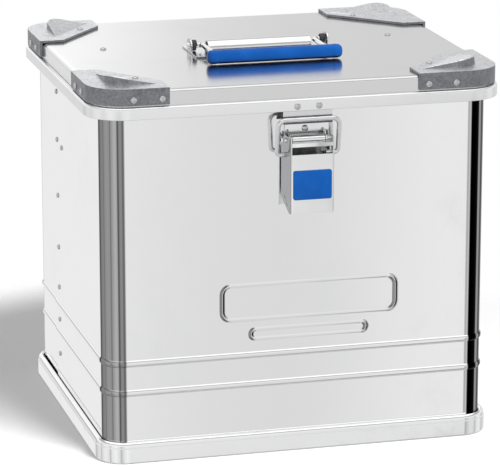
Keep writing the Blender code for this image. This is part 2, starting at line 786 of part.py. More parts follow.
def lever_outline():
    """The lever's section, (x, y): a flat front with two walls that flare towards the body."""
    back = -BODY_Y - GAP - LATCH_PLATE - LEVER_BACK_GAP
    front = LEVER_FRONT
    wall = LEVER_WALL
    outer, foot = LEVER_HALF, LEVER_HALF + LEVER_FLARE
    slant = wall * 1.12
    return [
        (-foot, back),
        (-outer, front + 0.0012),
        (-outer + 0.0012, front),
        (outer - 0.0012, front),
        (outer, front + 0.0012),
        (foot, back),
        (foot - slant, back),
        (outer - slant + 0.0004, front + wall),
        (-outer + slant - 0.0004, front + wall),
        (-foot + slant, back),
    ]


def make_latch_lever():
    bm = bmesh.new()
    extruded(bm, lever_outline(), LEVER_BOTTOM, LEVER_TOP, upwards)
    shift = LATCH_X + LEVER_SHIFT
    lever = add("latch_lever", bm, "steel", shift)
    inside = LEVER_HALF - LEVER_WALL * 1.12 + 0.0002
    foot = LEVER_HALF + LEVER_FLARE + 0.002
    back = -BODY_Y
    front = LEVER_FRONT - 0.002
    behind = LEVER_FRONT + LEVER_WALL + 0.001
    for name, low, high in (("slot", *LEVER_SLOT), ("head", LEVER_BRIDGE_TOP, LEVER_TOP + 0.002)):
        bm = bmesh.new()
        box(bm, (-inside, front, low), (inside, behind, high))
        combine(lever, add(f"latch_lever_{name}", bm, "steel", shift), "DIFFERENCE")
    heel = [
        (back, LEVER_BOTTOM - 0.002),
        (LEVER_FRONT + LEVER_WALL + 0.0005, LEVER_BOTTOM - 0.002),
        (back, LEVER_BOTTOM + 0.018),
    ]
    bm = bmesh.new()
    extruded(bm, heel, -foot, foot, across_x)
    combine(lever, add("latch_lever_heel", bm, "steel", shift), "DIFFERENCE")
    shoulder = [
        (back, PIVOT_Z - 0.006),
        (PIVOT_Y + 0.0062, PIVOT_Z - 0.002),
        (PIVOT_Y + 0.0062, PIVOT_Z + 0.0015),
        (PIVOT_Y + 0.0035, LEVER_TOP + 0.002),
        (back, LEVER_TOP + 0.002),
    ]
    bm = bmesh.new()
    extruded(bm, shoulder, -foot, foot, across_x)
    combine(lever, add("latch_lever_shoulder", bm, "steel", shift), "DIFFERENCE")
    bm = bmesh.new()
    pin_hole = PIN_RADIUS + GAP * 1.3
    bail_hole = BAIL_WIRE + GAP * 1.3
    for sign in (-1, 1):
        matrix = along((sign, 0, 0), (sign * foot, PIVOT_Y, PIVOT_Z))
        turned(bm, ((pin_hole, 0), (pin_hole, -0.012)), 12, matrix)
        matrix = along((sign, 0, 0), (sign * foot, -BODY_Y - BAIL_STANDOFF, BAIL_Z))
        turned(bm, ((bail_hole, 0), (bail_hole, -0.012)), 12, matrix)
    combine(lever, add("latch_lever_holes", bm, "steel", shift), "DIFFERENCE")
    return lever


def make_latch_inlay():
    bm = bmesh.new()
    low = (-INLAY_HALF, LEVER_FRONT - GAP - INLAY_THICKNESS, INLAY_BOTTOM)
    high = (INLAY_HALF, LEVER_FRONT - GAP, INLAY_BOTTOM + INLAY_HEIGHT)
    box(bm, low, high)
    return add("latch_inlay", bm, "blue", LATCH_X + LEVER_SHIFT)


def make_latch_pin():
    half = LEVER_HALF + LEVER_FLARE - LEVER_SHIFT
    barrel = EAR_INSIDE - GAP
    profile = (
        (PIN_RADIUS, half),
        (PIN_RADIUS, barrel),
        (BARREL_RADIUS, barrel),
        (BARREL_RADIUS, -barrel),
        (PIN_RADIUS, -barrel),
        (PIN_RADIUS, -half),
    )
    bm = bmesh.new()
    turned(bm, profile, 12, along((1, 0, 0), (0, PIVOT_Y, PIVOT_Z)))
    return add("latch_pin", bm, "steel", LATCH_X)


def bail_bar_y():
    """The bail's bar stands just in front of the keeper's curl."""
    slot_out = LID_OVERHANG - SKIRT_WALL
    return -BODY_Y - slot_out + GAP - KEEPER_CURL - KEEPER_GAP - BAIL_WIRE


def make_latch_bail():
    foot_y = -BODY_Y - BAIL_STANDOFF
    bar_y = bail_bar_y()
    points = (
        (BAIL_HALF, foot_y, BAIL_Z),
        (BAIL_HALF, bar_y, BAIL_TOP_Z),
        (-BAIL_HALF, bar_y, BAIL_TOP_Z),
        (-BAIL_HALF, foot_y, BAIL_Z),
    )
    ends = ((BAIL_END, foot_y, BAIL_Z), (-BAIL_END, foot_y, BAIL_Z))
    path = bent((ends[0], *points, ends[1]), (BAIL_FOOT_BEND, BAIL_BEND, BAIL_BEND, BAIL_FOOT_BEND), 3)
    bm = bmesh.new()
    wire(bm, path, BAIL_WIRE, 10)
    return add("latch_bail", bm, "chrome", LATCH_X)


def make_keeper():
    front = -BODY_Y - LID_OVERHANG + SKIRT_WALL + GAP
    back = front + KEEPER_WALL
    top = SKIRT_TOP - 0.0016 - GAP
    low = KEEPER_BOTTOM
    outline = [
        (front, top),
        (front, low + 0.0035),
        (front - KEEPER_CURL, low + 0.0020),
        (front - KEEPER_CURL, low),
        (front - KEEPER_CURL + 0.0008, low - 0.0003),
        (back, low + 0.0022),
        (back, top),
    ]
    bm = bmesh.new()
    extruded(bm, outline, -KEEPER_HALF, KEEPER_HALF, across_x)
    return add("latch_keeper", bm, "steel", LATCH_X)


def make_keeper_rivet(name, x, parent):
    """A headed rivet that ends level with the back of the keeper, where the frame leaves it no room for a tail."""
    surface = (x, -LID_DEPTH / 2, KEEPER_RIVET_Z)
    depth = SKIRT_WALL + GAP + KEEPER_WALL
    profile = (
        (RIVET_HEAD * 0.45, RIVET_HEAD_HEIGHT),
        (RIVET_HEAD, RIVET_HEAD_HEIGHT * 0.45),
        (RIVET_HEAD, GAP),
        (RIVET_SHANK, GAP),
        (RIVET_SHANK, -depth),
    )
    bm = bmesh.new()
    turned(bm, profile, RIVET_SIDES, along((0, -1, 0), surface))
    hang(add(name, bm, "rivet"), parent)


# Rear hinges


def make_hinge(side, sign, root, lid):
    x = sign * HINGE_X
    bore = PIN_RADIUS + GAP
    body_back = BODY_Y + GAP
    lid_back = LID_DEPTH / 2 + GAP

    bm = bmesh.new()
    top = HINGE_Z - 0.001
    box(bm, (x - HINGE_HALF, body_back, top - HINGE_LEAF_HEIGHT), (x + HINGE_HALF, body_back + HINGE_LEAF, top))
    body_leaf = add(f"hinge_body_leaf_{side}", bm, "steel")
    bm = bmesh.new()
    arm = [
        (body_back + 0.0005, HINGE_Z - 0.001),
        (body_back + 0.0005, HINGE_Z - 0.012),
        (body_back + HINGE_LEAF, HINGE_Z - 0.012),
        (HINGE_Y - 0.003, HINGE_Z - 0.0045),
        (HINGE_Y, HINGE_Z - KNUCKLE_RADIUS * 0.9),
        (HINGE_Y, HINGE_Z - 0.001),
    ]
    extruded(bm, arm, x - KNUCKLE_HALF + 0.0004, x + KNUCKLE_HALF - 0.0004, across_x)
    combine(body_leaf, add(f"hinge_arm_{side}", bm, "steel"), "UNION")
    bm = bmesh.new()
    matrix = along((1, 0, 0), (x, HINGE_Y, HINGE_Z))
    turned(bm, ((KNUCKLE_RADIUS, KNUCKLE_HALF), (KNUCKLE_RADIUS, -KNUCKLE_HALF)), 12, matrix)
    combine(body_leaf, add(f"hinge_knuckle_{side}", bm, "steel"), "UNION")

    bm = bmesh.new()
    leaf_low = HINGE_Z + 0.0007
    box(bm, (x - HINGE_HALF, lid_back, leaf_low), (x + HINGE_HALF, lid_back + HINGE_LEAF, SKIRT_TOP - 0.0012))
    lid_leaf = add(f"hinge_lid_leaf_{side}", bm, "steel")
    gap_half = KNUCKLE_HALF + 0.0004
    bm = bmesh.new()
    box(bm, (x - gap_half, lid_back - 0.001, leaf_low - 0.001), (x + gap_half, lid_back + 0.01, HINGE_Z + 0.0048))
    combine(lid_leaf, add(f"hinge_notch_{side}", bm, "steel"), "DIFFERENCE")
    lid_arm = [
        (lid_back + 0.0004, HINGE_Z + 0.0012),
        (HINGE_Y, HINGE_Z + 0.0010),
        (HINGE_Y, HINGE_Z + KNUCKLE_RADIUS * 0.9),
        (lid_back + HINGE_LEAF, HINGE_Z + 0.0085),
        (lid_back + 0.0004, HINGE_Z + 0.0085),
    ]
    for number, way in ((1, -1), (2, 1)):
        low, high = sorted((way * (gap_half + 0.0003), way * (HINGE_HALF + 0.0005)))
        bm = bmesh.new()
        matrix = along((1, 0, 0), (x, HINGE_Y, HINGE_Z))
        turned(bm, ((KNUCKLE_RADIUS, high), (KNUCKLE_RADIUS, low)), 12, matrix)
        combine(lid_leaf, add(f"hinge_eye_{side}_{number}", bm, "steel"), "UNION")
        bm = bmesh.new()
        extruded(bm, lid_arm, x + low + 0.0004, x + high - 0.0004, across_x)
        combine(lid_leaf, add(f"hinge_lid_arm_{side}_{number}", bm, "steel"), "UNION")
    for leaf in (body_leaf, lid_leaf):
        bm = bmesh.new()
        matrix = along((1, 0, 0), (x, HINGE_Y, HINGE_Z))
        turned(bm, ((bore, 0.03), (bore, -0.03)), 12, matrix)
        combine(leaf, add(leaf.name + "_bore", bm, "steel"), "DIFFERENCE")

    bm = bmesh.new()
    matrix = along((1, 0, 0), (x, HINGE_Y, HINGE_Z))
    head = HINGE_HALF + 0.0005 + GAP
    profile = (
        (PIN_RADIUS * 1.5, head + 0.001),
        (PIN_RADIUS * 1.5, head),
        (PIN_RADIUS, head),
        (PIN_RADIUS, -head - 0.001),
    )
    turned(bm, profile, 12, matrix)
    pin = add(f"hinge_pin_{side}", bm, "steel")
    hang(body_leaf, root)
    hang(pin, root)
    hang(lid_leaf, lid)


def main():
    clear_scene()
    root = axis_empty("root_frame", (0, 0, 0))
    lid = axis_empty("lid_axis", (0, HINGE_Y, HINGE_Z))
    handle = axis_empty("handle_axis", (HANDLE_X, HANDLE_Y, AXLE_Z))
    lever_axis = axis_empty("latch_lever_axis", (LATCH_X, PIVOT_Y, PIVOT_Z))
    bail_axis = axis_empty("latch_bail_axis", (LATCH_X, -BODY_Y - BAIL_STANDOFF, BAIL_Z))

    shell = make_body_shell()
    for piece in (shell, make_bottom_panel(), make_base_frame(), make_body_rim()):
        hang(piece, root)

    panel = make_lid_panel()
    frame = make_lid_frame()
    for piece in (panel, frame, make_lid_gasket()):
        hang(piece, lid)

    panel_holes = []
    side_grip = CASTING_WALL + GAP + SHEET
    top_grip = CASTING_PLATE + GAP + SHEET
    for front_back, sign_y in (("front", -1), ("rear", 1)):
        for side, sign_x in (("left", -1), ("right", 1)):
            corner = f"{front_back}_{side}"
            casting = make_casting(f"corner_{corner}", sign_x, sign_y)
            hang(casting, lid)
            holes = []
            for suffix, surface, outward, on_top in casting_rivet_places(sign_x, sign_y):
                grip = top_grip if on_top else side_grip
                rivet(f"corner_rivet_{corner}_{suffix}", surface, outward, grip, lid)
                holes.append((surface, outward, grip))
            drill(casting, holes)
            panel_holes += holes

    bracket = make_handle_bracket()
    hang(bracket, lid)
    for side, sign in (("left", -1), ("right", 1)):
        hang(make_handle_bush(side, sign), lid)
    plate_top = LID_TOP + GAP + HANDLE_PLATE
    handle_grip_depth = HANDLE_PLATE + GAP + SHEET
    bracket_holes = []
    for row, (x, y) in zip(("front", "rear"), HANDLE_RIVETS):
        for side, sign in (("left", -1), ("right", 1)):
            surface = Vector((HANDLE_X + sign * x, y, plate_top))
            rivet(f"handle_rivet_{row}_{side}", surface, (0, 0, 1), handle_grip_depth, lid)
            bracket_holes.append((surface, (0, 0, 1), handle_grip_depth))
    drill(bracket, bracket_holes)
    panel_holes += bracket_holes

    for side, sign in (("left", -1), ("right", 1)):
        centre = Vector((sign * STRAP_X, STRAP_Y, LID_TOP))
        half_x, half_y = STRAP_TAB_HALF
        tab_top = LID_TOP - SHEET - GAP
        bm = bmesh.new()
        low = (centre.x - half_x, STRAP_Y - half_y, tab_top - SHEET)
        box(bm, low, (centre.x + half_x, STRAP_Y + half_y, tab_top))
        tab = add(f"strap_tab_{side}", bm, "steel")
        hang(tab, lid)
        depth = SHEET + GAP + SHEET
        rivet(f"strap_rivet_{side}", centre, (0, 0, 1), depth, lid)
        drill(tab, [(centre, (0, 0, 1), depth)])
        panel_holes.append((centre, (0, 0, 1), depth))
    drill(panel, panel_holes)

    for piece in (make_handle_bail(), make_handle_grip()):
        hang(piece, handle)

    base = make_latch_base()
    hang(base, root)
    hang(make_latch_pin(), root)
    plate_front = -BODY_Y - GAP - LATCH_PLATE
    depth = LATCH_PLATE + GAP + SHEET
    latch_holes = []
    for name, z in (("top", LATCH_PLATE_TOP - 0.006), ("bottom", LATCH_PLATE_BOTTOM + 0.010)):
        surface = Vector((LATCH_X, plate_front, z))
        rivet(f"latch_base_rivet_{name}", surface, (0, -1, 0), depth, root)
        latch_holes.append((surface, (0, -1, 0), depth))
    drill(base, latch_holes)
    drill(shell, latch_holes)

    for piece in (make_latch_lever(), make_latch_inlay()):
        hang(piece, lever_axis)
    hang(make_latch_bail(), bail_axis)

    keeper = make_keeper()
    hang(keeper, lid)
    keeper_holes = []
    for side, sign in (("left", -1), ("right", 1)):
        x = LATCH_X + sign * KEEPER_RIVET_HALF
        make_keeper_rivet(f"keeper_rivet_{side}", x, lid)
        keeper_holes.append((Vector((x, -LID_DEPTH / 2, KEEPER_RIVET_Z)), (0, -1, 0)))
    drill(keeper, [(*hole, SKIRT_WALL + GAP + KEEPER_WALL) for hole in keeper_holes])
    drill(frame, [(*hole, SKIRT_WALL - 0.0004) for hole in keeper_holes])

    for side, sign in (("left", -1), ("right", 1)):
        make_hinge(side, sign, root, lid)


main()
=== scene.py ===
import math

import bmesh
import bpy
from mathutils import Matrix, Vector


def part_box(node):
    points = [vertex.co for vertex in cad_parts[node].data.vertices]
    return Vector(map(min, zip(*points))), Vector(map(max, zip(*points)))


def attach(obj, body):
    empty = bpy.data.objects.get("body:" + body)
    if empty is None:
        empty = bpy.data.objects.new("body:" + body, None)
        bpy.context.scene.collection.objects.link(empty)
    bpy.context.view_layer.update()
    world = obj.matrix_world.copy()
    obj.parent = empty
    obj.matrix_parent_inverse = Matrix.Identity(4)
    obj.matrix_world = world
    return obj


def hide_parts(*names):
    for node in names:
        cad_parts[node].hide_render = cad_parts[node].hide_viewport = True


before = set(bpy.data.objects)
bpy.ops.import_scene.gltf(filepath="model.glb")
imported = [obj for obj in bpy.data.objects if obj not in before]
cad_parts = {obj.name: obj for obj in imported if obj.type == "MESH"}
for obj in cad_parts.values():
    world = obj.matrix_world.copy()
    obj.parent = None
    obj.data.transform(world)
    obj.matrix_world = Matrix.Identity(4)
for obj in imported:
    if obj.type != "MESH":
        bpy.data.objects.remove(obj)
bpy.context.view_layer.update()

# Sizes read from the frame

body_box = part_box("body_shell")
rim_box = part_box("body_rim")
base_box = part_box("base_frame")
pan_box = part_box("lid_panel")
skirt_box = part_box("lid_frame")

BEAD_DEPTH = 0.0016
BODY_X = body_box[1].x - BEAD_DEPTH
BODY_Y = body_box[1].y - BEAD_DEPTH
BODY_RADIUS = 0.022
SHEET = 0.0012
GAP = 0.0003
LID_TOP = pan_box[1].z
BAND_X, BAND_Y = pan_box[1].x, pan_box[1].y
BAND_RADIUS = 0.036
SKIRT_X = skirt_box[1].x
SKIRT_BOTTOM = skirt_box[0].z
SKIRT_HEIGHT = 0.0125
SKIRT_TOP = SKIRT_BOTTOM + SKIRT_HEIGHT
RIM_TOP = rim_box[1].z
CORNER_STEPS = 16


# Meshes


def piece(name, bm, body, material, nodes=(), bevel=0.0, angle=35, shift=0.0, segments=2):
    """Makes a mesh object, gives it its finish and hangs it on its body."""
    bmesh.ops.recalc_face_normals(bm, faces=bm.faces)
    if shift:
        bmesh.ops.translate(bm, verts=bm.verts, vec=(shift, 0, 0))
    mesh = bpy.data.meshes.new(name)
    bm.to_mesh(mesh)
    bm.free()
    mesh.shade_smooth()
    mesh.set_sharp_from_angle(angle=math.radians(angle))
    obj = bpy.data.objects.new(name, mesh)
    bpy.context.scene.collection.objects.link(obj)
    mesh.materials.append(finish(material))
    if bevel:
        round_edges(obj, bevel, segments)
    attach(obj, body)
    if nodes:
        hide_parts(*nodes)
    return obj


def round_edges(obj, width, segments=2):
    modifier = obj.modifiers.new("Edges", "BEVEL")
    modifier.width = width
    modifier.segments = segments
    modifier.limit_method = "ANGLE"
    modifier.angle_limit = math.radians(30)
    modifier.use_clamp_overlap = True
    even_shading(obj)


def even_shading(obj):
    """Keeps large flat faces flat to the eye, beside small rounded ones."""
    normals = obj.modifiers.new("Flats", "WEIGHTED_NORMAL")
    normals.keep_sharp = True
    normals.weight = 80


def loose(bm):
    """A helper object that only lives until its shape is read."""
    bmesh.ops.recalc_face_normals(bm, faces=bm.faces)
    mesh = bpy.data.meshes.new("helper")
    bm.to_mesh(mesh)
    bm.free()
    obj = bpy.data.objects.new("helper", mesh)
    bpy.context.scene.collection.objects.link(obj)
    return obj


def shaped(start, steps):
    """A bmesh with other bmeshes cut from it or joined to it, in order."""
    base = loose(start)
    helpers = [loose(other) for other, _ in steps]
    for helper, (_, operation) in zip(helpers, steps):
        modifier = base.modifiers.new(operation, "BOOLEAN")
        modifier.operation = operation
        modifier.solver = "EXACT"
        modifier.object = helper
    graph = bpy.context.evaluated_depsgraph_get()
    bm = bmesh.new()
    bm.from_object(base, graph)
    bmesh.ops.remove_doubles(bm, verts=bm.verts, dist=1e-6)
    bmesh.ops.dissolve_limit(bm, angle_limit=0.002, verts=bm.verts, edges=bm.edges)
    for helper in (base, *helpers):
        bpy.data.objects.remove(helper)
    return bm


def rounded_loop(half_x, half_y, radius, z, steps=CORNER_STEPS):
    points = []
    for corner in range(4):
        sign_x = 1 if corner in (0, 3) else -1
        sign_y = 1 if corner in (0, 1) else -1
        centre = Vector((sign_x * (half_x - radius), sign_y * (half_y - radius), z))
        for step in range(steps + 1):
            turn = corner * math.pi / 2 + step * math.pi / 2 / steps
            points.append(centre + radius * Vector((math.cos(turn), math.sin(turn), 0)))
    return points


def body_loop(offset, radius, z):
    return rounded_loop(BODY_X + offset, BODY_Y + offset, radius, z)


def skin(bm, loops, closed):
    rows = [[bm.verts.new(point) for point in loop] for loop in loops]
    pairs = list(zip(rows, rows[1:]))
    if closed:
        pairs.append((rows[-1], rows[0]))
    else:
        bm.faces.new(rows[0])
        bm.faces.new(rows[-1])
    for low, high in pairs:
        for i in range(len(low)):
            j = (i + 1) % len(low)
            bm.faces.new((low[i], low[j], high[j], high[i]))
    return bm


def frame_ring(profile):
    return skin(bmesh.new(), [body_loop(*point) for point in profile], closed=True)


def box(low, high):
    bm = bmesh.new()
    low, high = Vector(low), Vector(high)
    matrix = Matrix.Translation((low + high) / 2) @ Matrix.Diagonal((*(high - low), 1))
    bmesh.ops.create_cube(bm, size=1, matrix=matrix)
    return bm


def circle(radius, sides):
    turns = [math.tau * k / sides for k in range(sides)]
    return [(radius * math.cos(turn), radius * math.sin(turn)) for turn in turns]


def along(direction, origin):
    turn = Vector(direction).to_track_quat("Z", "Y").to_matrix().to_4x4()
    return Matrix.Translation(origin) @ turn


def turned(profile, matrix, sides=32):
    loops = [[matrix @ Vector((x, y, h)) for x, y in circle(radius, sides)] for radius, h in profile]
    return skin(bmesh.new(), loops, closed=False)


def extruded(outline, low, high, place):
    return skin(
        bmesh.new(), [[place(a, b, depth) for a, b in outline] for depth in (low, high)], closed=False
    )


def across_x(a, b, depth):
    return Vector((depth, a, b))


def upwards(a, b, depth):
    return Vector((a, b, depth))


def bent(points, radii, steps=8):
    path = [Vector(points[0])]
    for before, corner, after, radius in zip(points, points[1:], points[2:], radii):
        before, corner, after = Vector(before), Vector(corner), Vector(after)
        into, out = (corner - before).normalized(), (after - corner).normalized()
        half_turn = into.angle(out) / 2
        start = corner - into * radius * math.tan(half_turn)
        centre = corner + (out - into).normalized() * (radius / math.cos(half_turn))
        normal = into.cross(out).normalized()
        for step in range(steps + 1):
            turn = Matrix.Rotation(2 * half_turn * step / steps, 3, normal)
            path.append(centre + turn @ (start - centre))
    path.append(Vector(points[-1]))
    return path


def wire(path, radius, normal, sides=24):
    """A round wire along a path in the plane across normal, with slightly rounded ends."""
    normal = Vector(normal)
    loops = []
    for i, point in enumerate(path):
        ahead = (path[min(i + 1, len(path) - 1)] - path[max(i - 1, 0)]).normalized()
        side = ahead.cross(normal).normalized()
        loops.append([point + side * x + normal * y for x, y in circle(radius, sides)])
        if i in (0, len(path) - 1):
            away = -ahead if i == 0 else ahead
            cap = [
                point + away * radius * 0.3 + side * x + normal * y for x, y in circle(radius * 0.8, sides)
            ]
            loops.insert(0 if i == 0 else len(loops), cap)
    return skin(bmesh.new(), loops, closed=False)


# Shader graphs


class Value:
    """A shader socket that can be used in sums."""

    def __init__(self, graph, socket):
        self.graph, self.socket = graph, socket

    def math(self, operation, *others, first=True):
        terms = (self, *others) if first else (*others, self)
        return self.graph.add("ShaderNodeMath", {"operation": operation}, dict(enumerate(terms)))

    def __add__(self, other):
        return self.math("ADD", other)

    def __mul__(self, other):
        return self.math("MULTIPLY", other)

    def __sub__(self, other):
        return self.math("SUBTRACT", other)

    def __rsub__(self, other):
        return self.math("SUBTRACT", other, first=False)

    def __truediv__(self, other):
        return self.math("DIVIDE", other)

    def __pow__(self, other):
        return self.math("POWER", other)

    __radd__, __rmul__ = __add__, __mul__

    def step(self, low, high):
        """Rises smoothly from 0 at low to 1 at high."""
        values = {0: self, 1: low, 2: high, 3: 0.0, 4: 1.0}
        return self.graph.add("ShaderNodeMapRange", {"interpolation_type": "SMOOTHSTEP"}, values)


class Graph:
    def __init__(self, owner):
        owner.use_nodes = True
        self.tree = owner.node_tree
        self.tree.nodes.clear()

    def add(self, kind, settings=None, sockets=None, output=0):
        """Adds a node: its settings first, then the values or links of its sockets."""
        node = self.tree.nodes.new(kind)
        for key, value in (settings or {}).items():
            if key == "stops":
                self.fill_ramp(node.color_ramp, value)
            else:
                setattr(node, key, value)
        for key, value in (sockets or {}).items():
            if isinstance(value, Value):
                self.tree.links.new(value.socket, node.inputs[key])
            else:
                node.inputs[key].default_value = value
        return Value(self, node.outputs[output]) if node.outputs else node

    @staticmethod
    def fill_ramp(ramp, stops):
        while len(ramp.elements) < len(stops):
            ramp.elements.new(1.0)
        for element, (position, value) in zip(ramp.elements, sorted(stops)):
            element.position = position
            element.color = (value, value, value, 1)

    def place(self, scale=(1, 1, 1), turn=(0, 0, 0)):
        here = self.add("ShaderNodeTexCoord", output="Object")
        return self.add("ShaderNodeMapping", None, {"Vector": here, "Scale": scale, "Rotation": turn})

    def noise(self, where, scale, detail=3.0, rough=0.55, distortion=0.0):
        sockets = {
            "Vector": where, "Scale": scale, "Detail": detail, "Roughness": rough, "Distortion": distortion
        }
        return self.add("ShaderNodeTexNoise", None, sockets)

    def axes(self, where):
        parts = self.add("ShaderNodeSeparateXYZ", None, {0: where})
        node = parts.socket.node
        return [Value(self, node.outputs[k]) for k in range(3)]

    def ramp(self, where, stops):
        """A grey level that follows stops of (place, level)."""
        colour = self.add("ShaderNodeValToRGB", {"stops": stops}, {0: where})
        return self.add("ShaderNodeRGBToBW", None, {0: colour})

    def facing(self):
        """The way the surface faces, along the piece's own axes."""
        return self.axes(self.add("ShaderNodeTexCoord", output="Normal"))

    def blend(self, share, low, high):
        settings = {"data_type": "RGBA"}
        colours = {0: share}
        for key, colour in ((6, low), (7, high)):
            colours[key] = colour if isinstance(colour, Value) else (*colour, 1)
        return self.add("ShaderNodeMix", settings, colours, output=2)

    def bump(self, height, distance, strength=1.0, under=None):
        sockets = {"Height": height, "Distance": distance, "Strength": strength}
        if under:
            sockets["Normal"] = under
        return self.add("ShaderNodeBump", None, sockets)

    def shader(self, **sockets):
        named = {key.replace("_", " "): value for key, value in sockets.items()}
        surface = self.add("ShaderNodeBsdfPrincipled", None, named)
        self.add("ShaderNodeOutputMaterial", None, {"Surface": surface})


def hairlines(g, direction, scale, fineness):
    """Thin parallel scratches that run along one axis."""
    stretch = [scale] * 3
    stretch["XYZ".index(direction)] = scale / fineness
    return g.noise(g.place(stretch), 1.0, 4.0, 0.7)


def bright_sheet(g, tone=0.90, base_rough=0.07, lines="Z", shade=None):
    """Mirror-bright rolled sheet: faint rolling lines, a slight waviness and a few rubbed patches."""
    rolling = hairlines(g, lines, 900, 60)
    rubbed = g.noise(g.place(), 9.0, 5.0, 0.6).step(0.52, 0.78)
    wave = g.noise(g.place((1, 1, 0.6)), 5.5, 1.5, 0.4)
    colour = g.blend(rubbed * 0.5, (tone, tone, tone * 1.002), (tone * 0.93, tone * 0.935, tone * 0.945))
    # shade, when given, is a painted reflection that darkens the base colour.
    if shade:
        colour = g.blend(shade, (0.0, 0.0, 0.0), colour)
    rough = base_rough + (rolling - 0.5) * 0.05 + rubbed * 0.05
    flow = g.bump(wave, 0.0009, 0.5)
    normal = g.bump(rolling, 0.00002, 0.25, flow)
    g.shader(Base_Color=colour, Metallic=1.0, Roughness=rough, Normal=normal)


# Painted reflections: grey levels, set by the way the sheet faces, that darken the body's rounded corners in
# upright streaks.
LEFT_PAINTED_REFLECTIONS = (
    (-180, 1.0), (-178.5, 1.0), (-177, 0.3), (-168, 0.4), (-166, 0.05), (-158, 0.05), (-156, 0.5),
    (-134, 0.6),
    (-132, 0.05), (-124, 0.05), (-122, 0.5), (-100, 0.6), (-97, 0.1), (-93, 0.1), (-90.4, 1.0),
    (-89.6, 1.0),
    (-88.5, 0.02), (-80, 0.02), (-78, 0.24), (-60, 0.36), (-38, 0.38), (-26, 0.52), (-22, 0.50),
    (-20.5, 0.18),
    (-18, 0.18), (-16, 0.36), (-10, 0.33), (-7.5, 0.17), (-4, 0.17), (-1.5, 0.9), (-0.5, 1.0),
)
RIGHT_PAINTED_REFLECTIONS = (
    (0, 1.0), (6.0, 1.0), (9.0, 0.0), (33, 0.0), (35, 0.36), (44, 0.36), (45.5, 0.01), (62, 0.01),
    (65, 0.6),
    (87, 0.8), (89.6, 1.0), (90.4, 1.0), (92, 0.6), (104, 0.45), (106, 0.05), (112, 0.05), (115, 0.4),
    (140, 0.5),
    (143, 0.95), (157, 0.95), (159, 0.07), (164, 0.07), (165.5, 0.45), (173, 0.45), (175, 0.1), (178, 0.1),
    (179.3, 1.0),
)


def body_sheet(g):
    """The body's sheet: bright on its flat sides, with painted reflections in upright dark streaks round its
    drawn corners.
    """
    x, y, _ = g.facing()
    turn = x.math("ARCTAN2", y * -1.0) * (180 / math.pi)
    left = g.ramp((turn + 180) / 180, [((degrees + 180) / 180, shade) for degrees, shade in LEFT_PAINTED_REFLECTIONS])
    right = g.ramp(turn / 180, [(degrees / 180, shade) for degrees, shade in RIGHT_PAINTED_REFLECTIONS])
    side = turn.math("GREATER_THAN", 0.0)
    # The painted reflections darken the sheet's base colour round its corners.
    bright_sheet(g, shade=left * (1 - side) + right * side)


def lid_sheet(g):
    bright_sheet(g, tone=0.77, base_rough=0.15, lines="X")


def extrusion(g, base_rough=0.32):
    """Bright extruded profile with die lines along its length and scuffed spots."""
    scuffs = g.noise(g.place(), 60.0, 4.0, 0.6).step(0.5, 0.8)
    lines = hairlines(g, "Z", 60, 0.02)
    cloud = g.noise(g.place(), 14.0, 3.0)
    colour = g.blend(cloud, (0.98, 0.98, 0.98), (0.91, 0.915, 0.92))
    rough = base_rough + scuffs * 0.07 + (lines - 0.5) * 0.06
    g.shader(Base_Color=colour, Metallic=1.0, Roughness=rough, Normal=g.bump(lines, 0.00002, 0.15))


def foot_extrusion(g):
    extrusion(g, base_rough=0.13)


def cast_metal(g):
    """Tumbled die casting: mottled and grainy, with painted shade on its walls and a painted highlight on its
    top and edges, speckled like rubbed metal.
    """
    _, _, facing = g.facing()
    cloud = g.noise(g.place(), 90.0, 4.0, 0.6)
    mottle = g.noise(g.place(), 420.0, 5.0, 0.7)
    grain = g.noise(g.place(), 1100.0, 3.0, 0.6)
    pits = g.noise(g.place(), 520.0, 3.0, 0.6).step(0.57, 0.68)
    speckle = (mottle * 0.7 + cloud * 0.3).step(0.36, 0.64)
    # Painted light: faces that point up get a painted highlight, walls a painted shade, broken up by speckle.
    rubbed = facing.step(0.10, 0.90) * (0.62 + speckle * 0.38)
    wall = g.blend(speckle, (0.19, 0.19, 0.205), (0.31, 0.315, 0.335))
    colour = g.blend(rubbed - pits * 0.35, wall, (0.95, 0.96, 0.98))
    rough = 0.24 + mottle * 0.22 + pits * 0.12
    fine = g.bump(grain, 0.00012, 0.5)
    normal = g.bump(mottle - pits * 0.6, 0.0006, 0.55, fine)
    g.shader(Base_Color=colour, Metallic=1.0, Roughness=rough, Normal=normal)


def rivet_metal(g):
    marks = g.noise(g.place(), 700.0, 4.0, 0.6)
    colour = g.blend(marks, (0.74, 0.745, 0.75), (0.48, 0.485, 0.50))
    rough = 0.14 + marks * 0.16
    g.shader(Base_Color=colour, Metallic=1.0, Roughness=rough, Normal=g.bump(marks, 0.00004, 0.4))


def plated_steel(g):
    """Zinc-plated pressing: fine spangle, brushed along its height and slightly cloudy, with painted shade on
    faces that point sideways.
    """
    brushed = hairlines(g, "Z", 1600, 40)
    cloud = g.noise(g.place(), 60.0, 4.0, 0.6)
    sideways, _, _ = g.facing()
    # Painted shade: faces turned sideways are darkened, streaked by the brushing.
    side_painted_shade = sideways.math("ABSOLUTE").step(0.55, 0.95) * (0.6 + brushed * 0.3)
    polished = g.blend(cloud, (0.95, 0.95, 0.95), (0.84, 0.845, 0.855))
    colour = g.blend(side_painted_shade, polished, (0.30, 0.305, 0.32))
    rough = 0.13 + cloud * 0.1 + (brushed - 0.5) * 0.08
    g.shader(Base_Color=colour, Metallic=1.0, Roughness=rough, Normal=g.bump(brushed, 0.00003, 0.35))


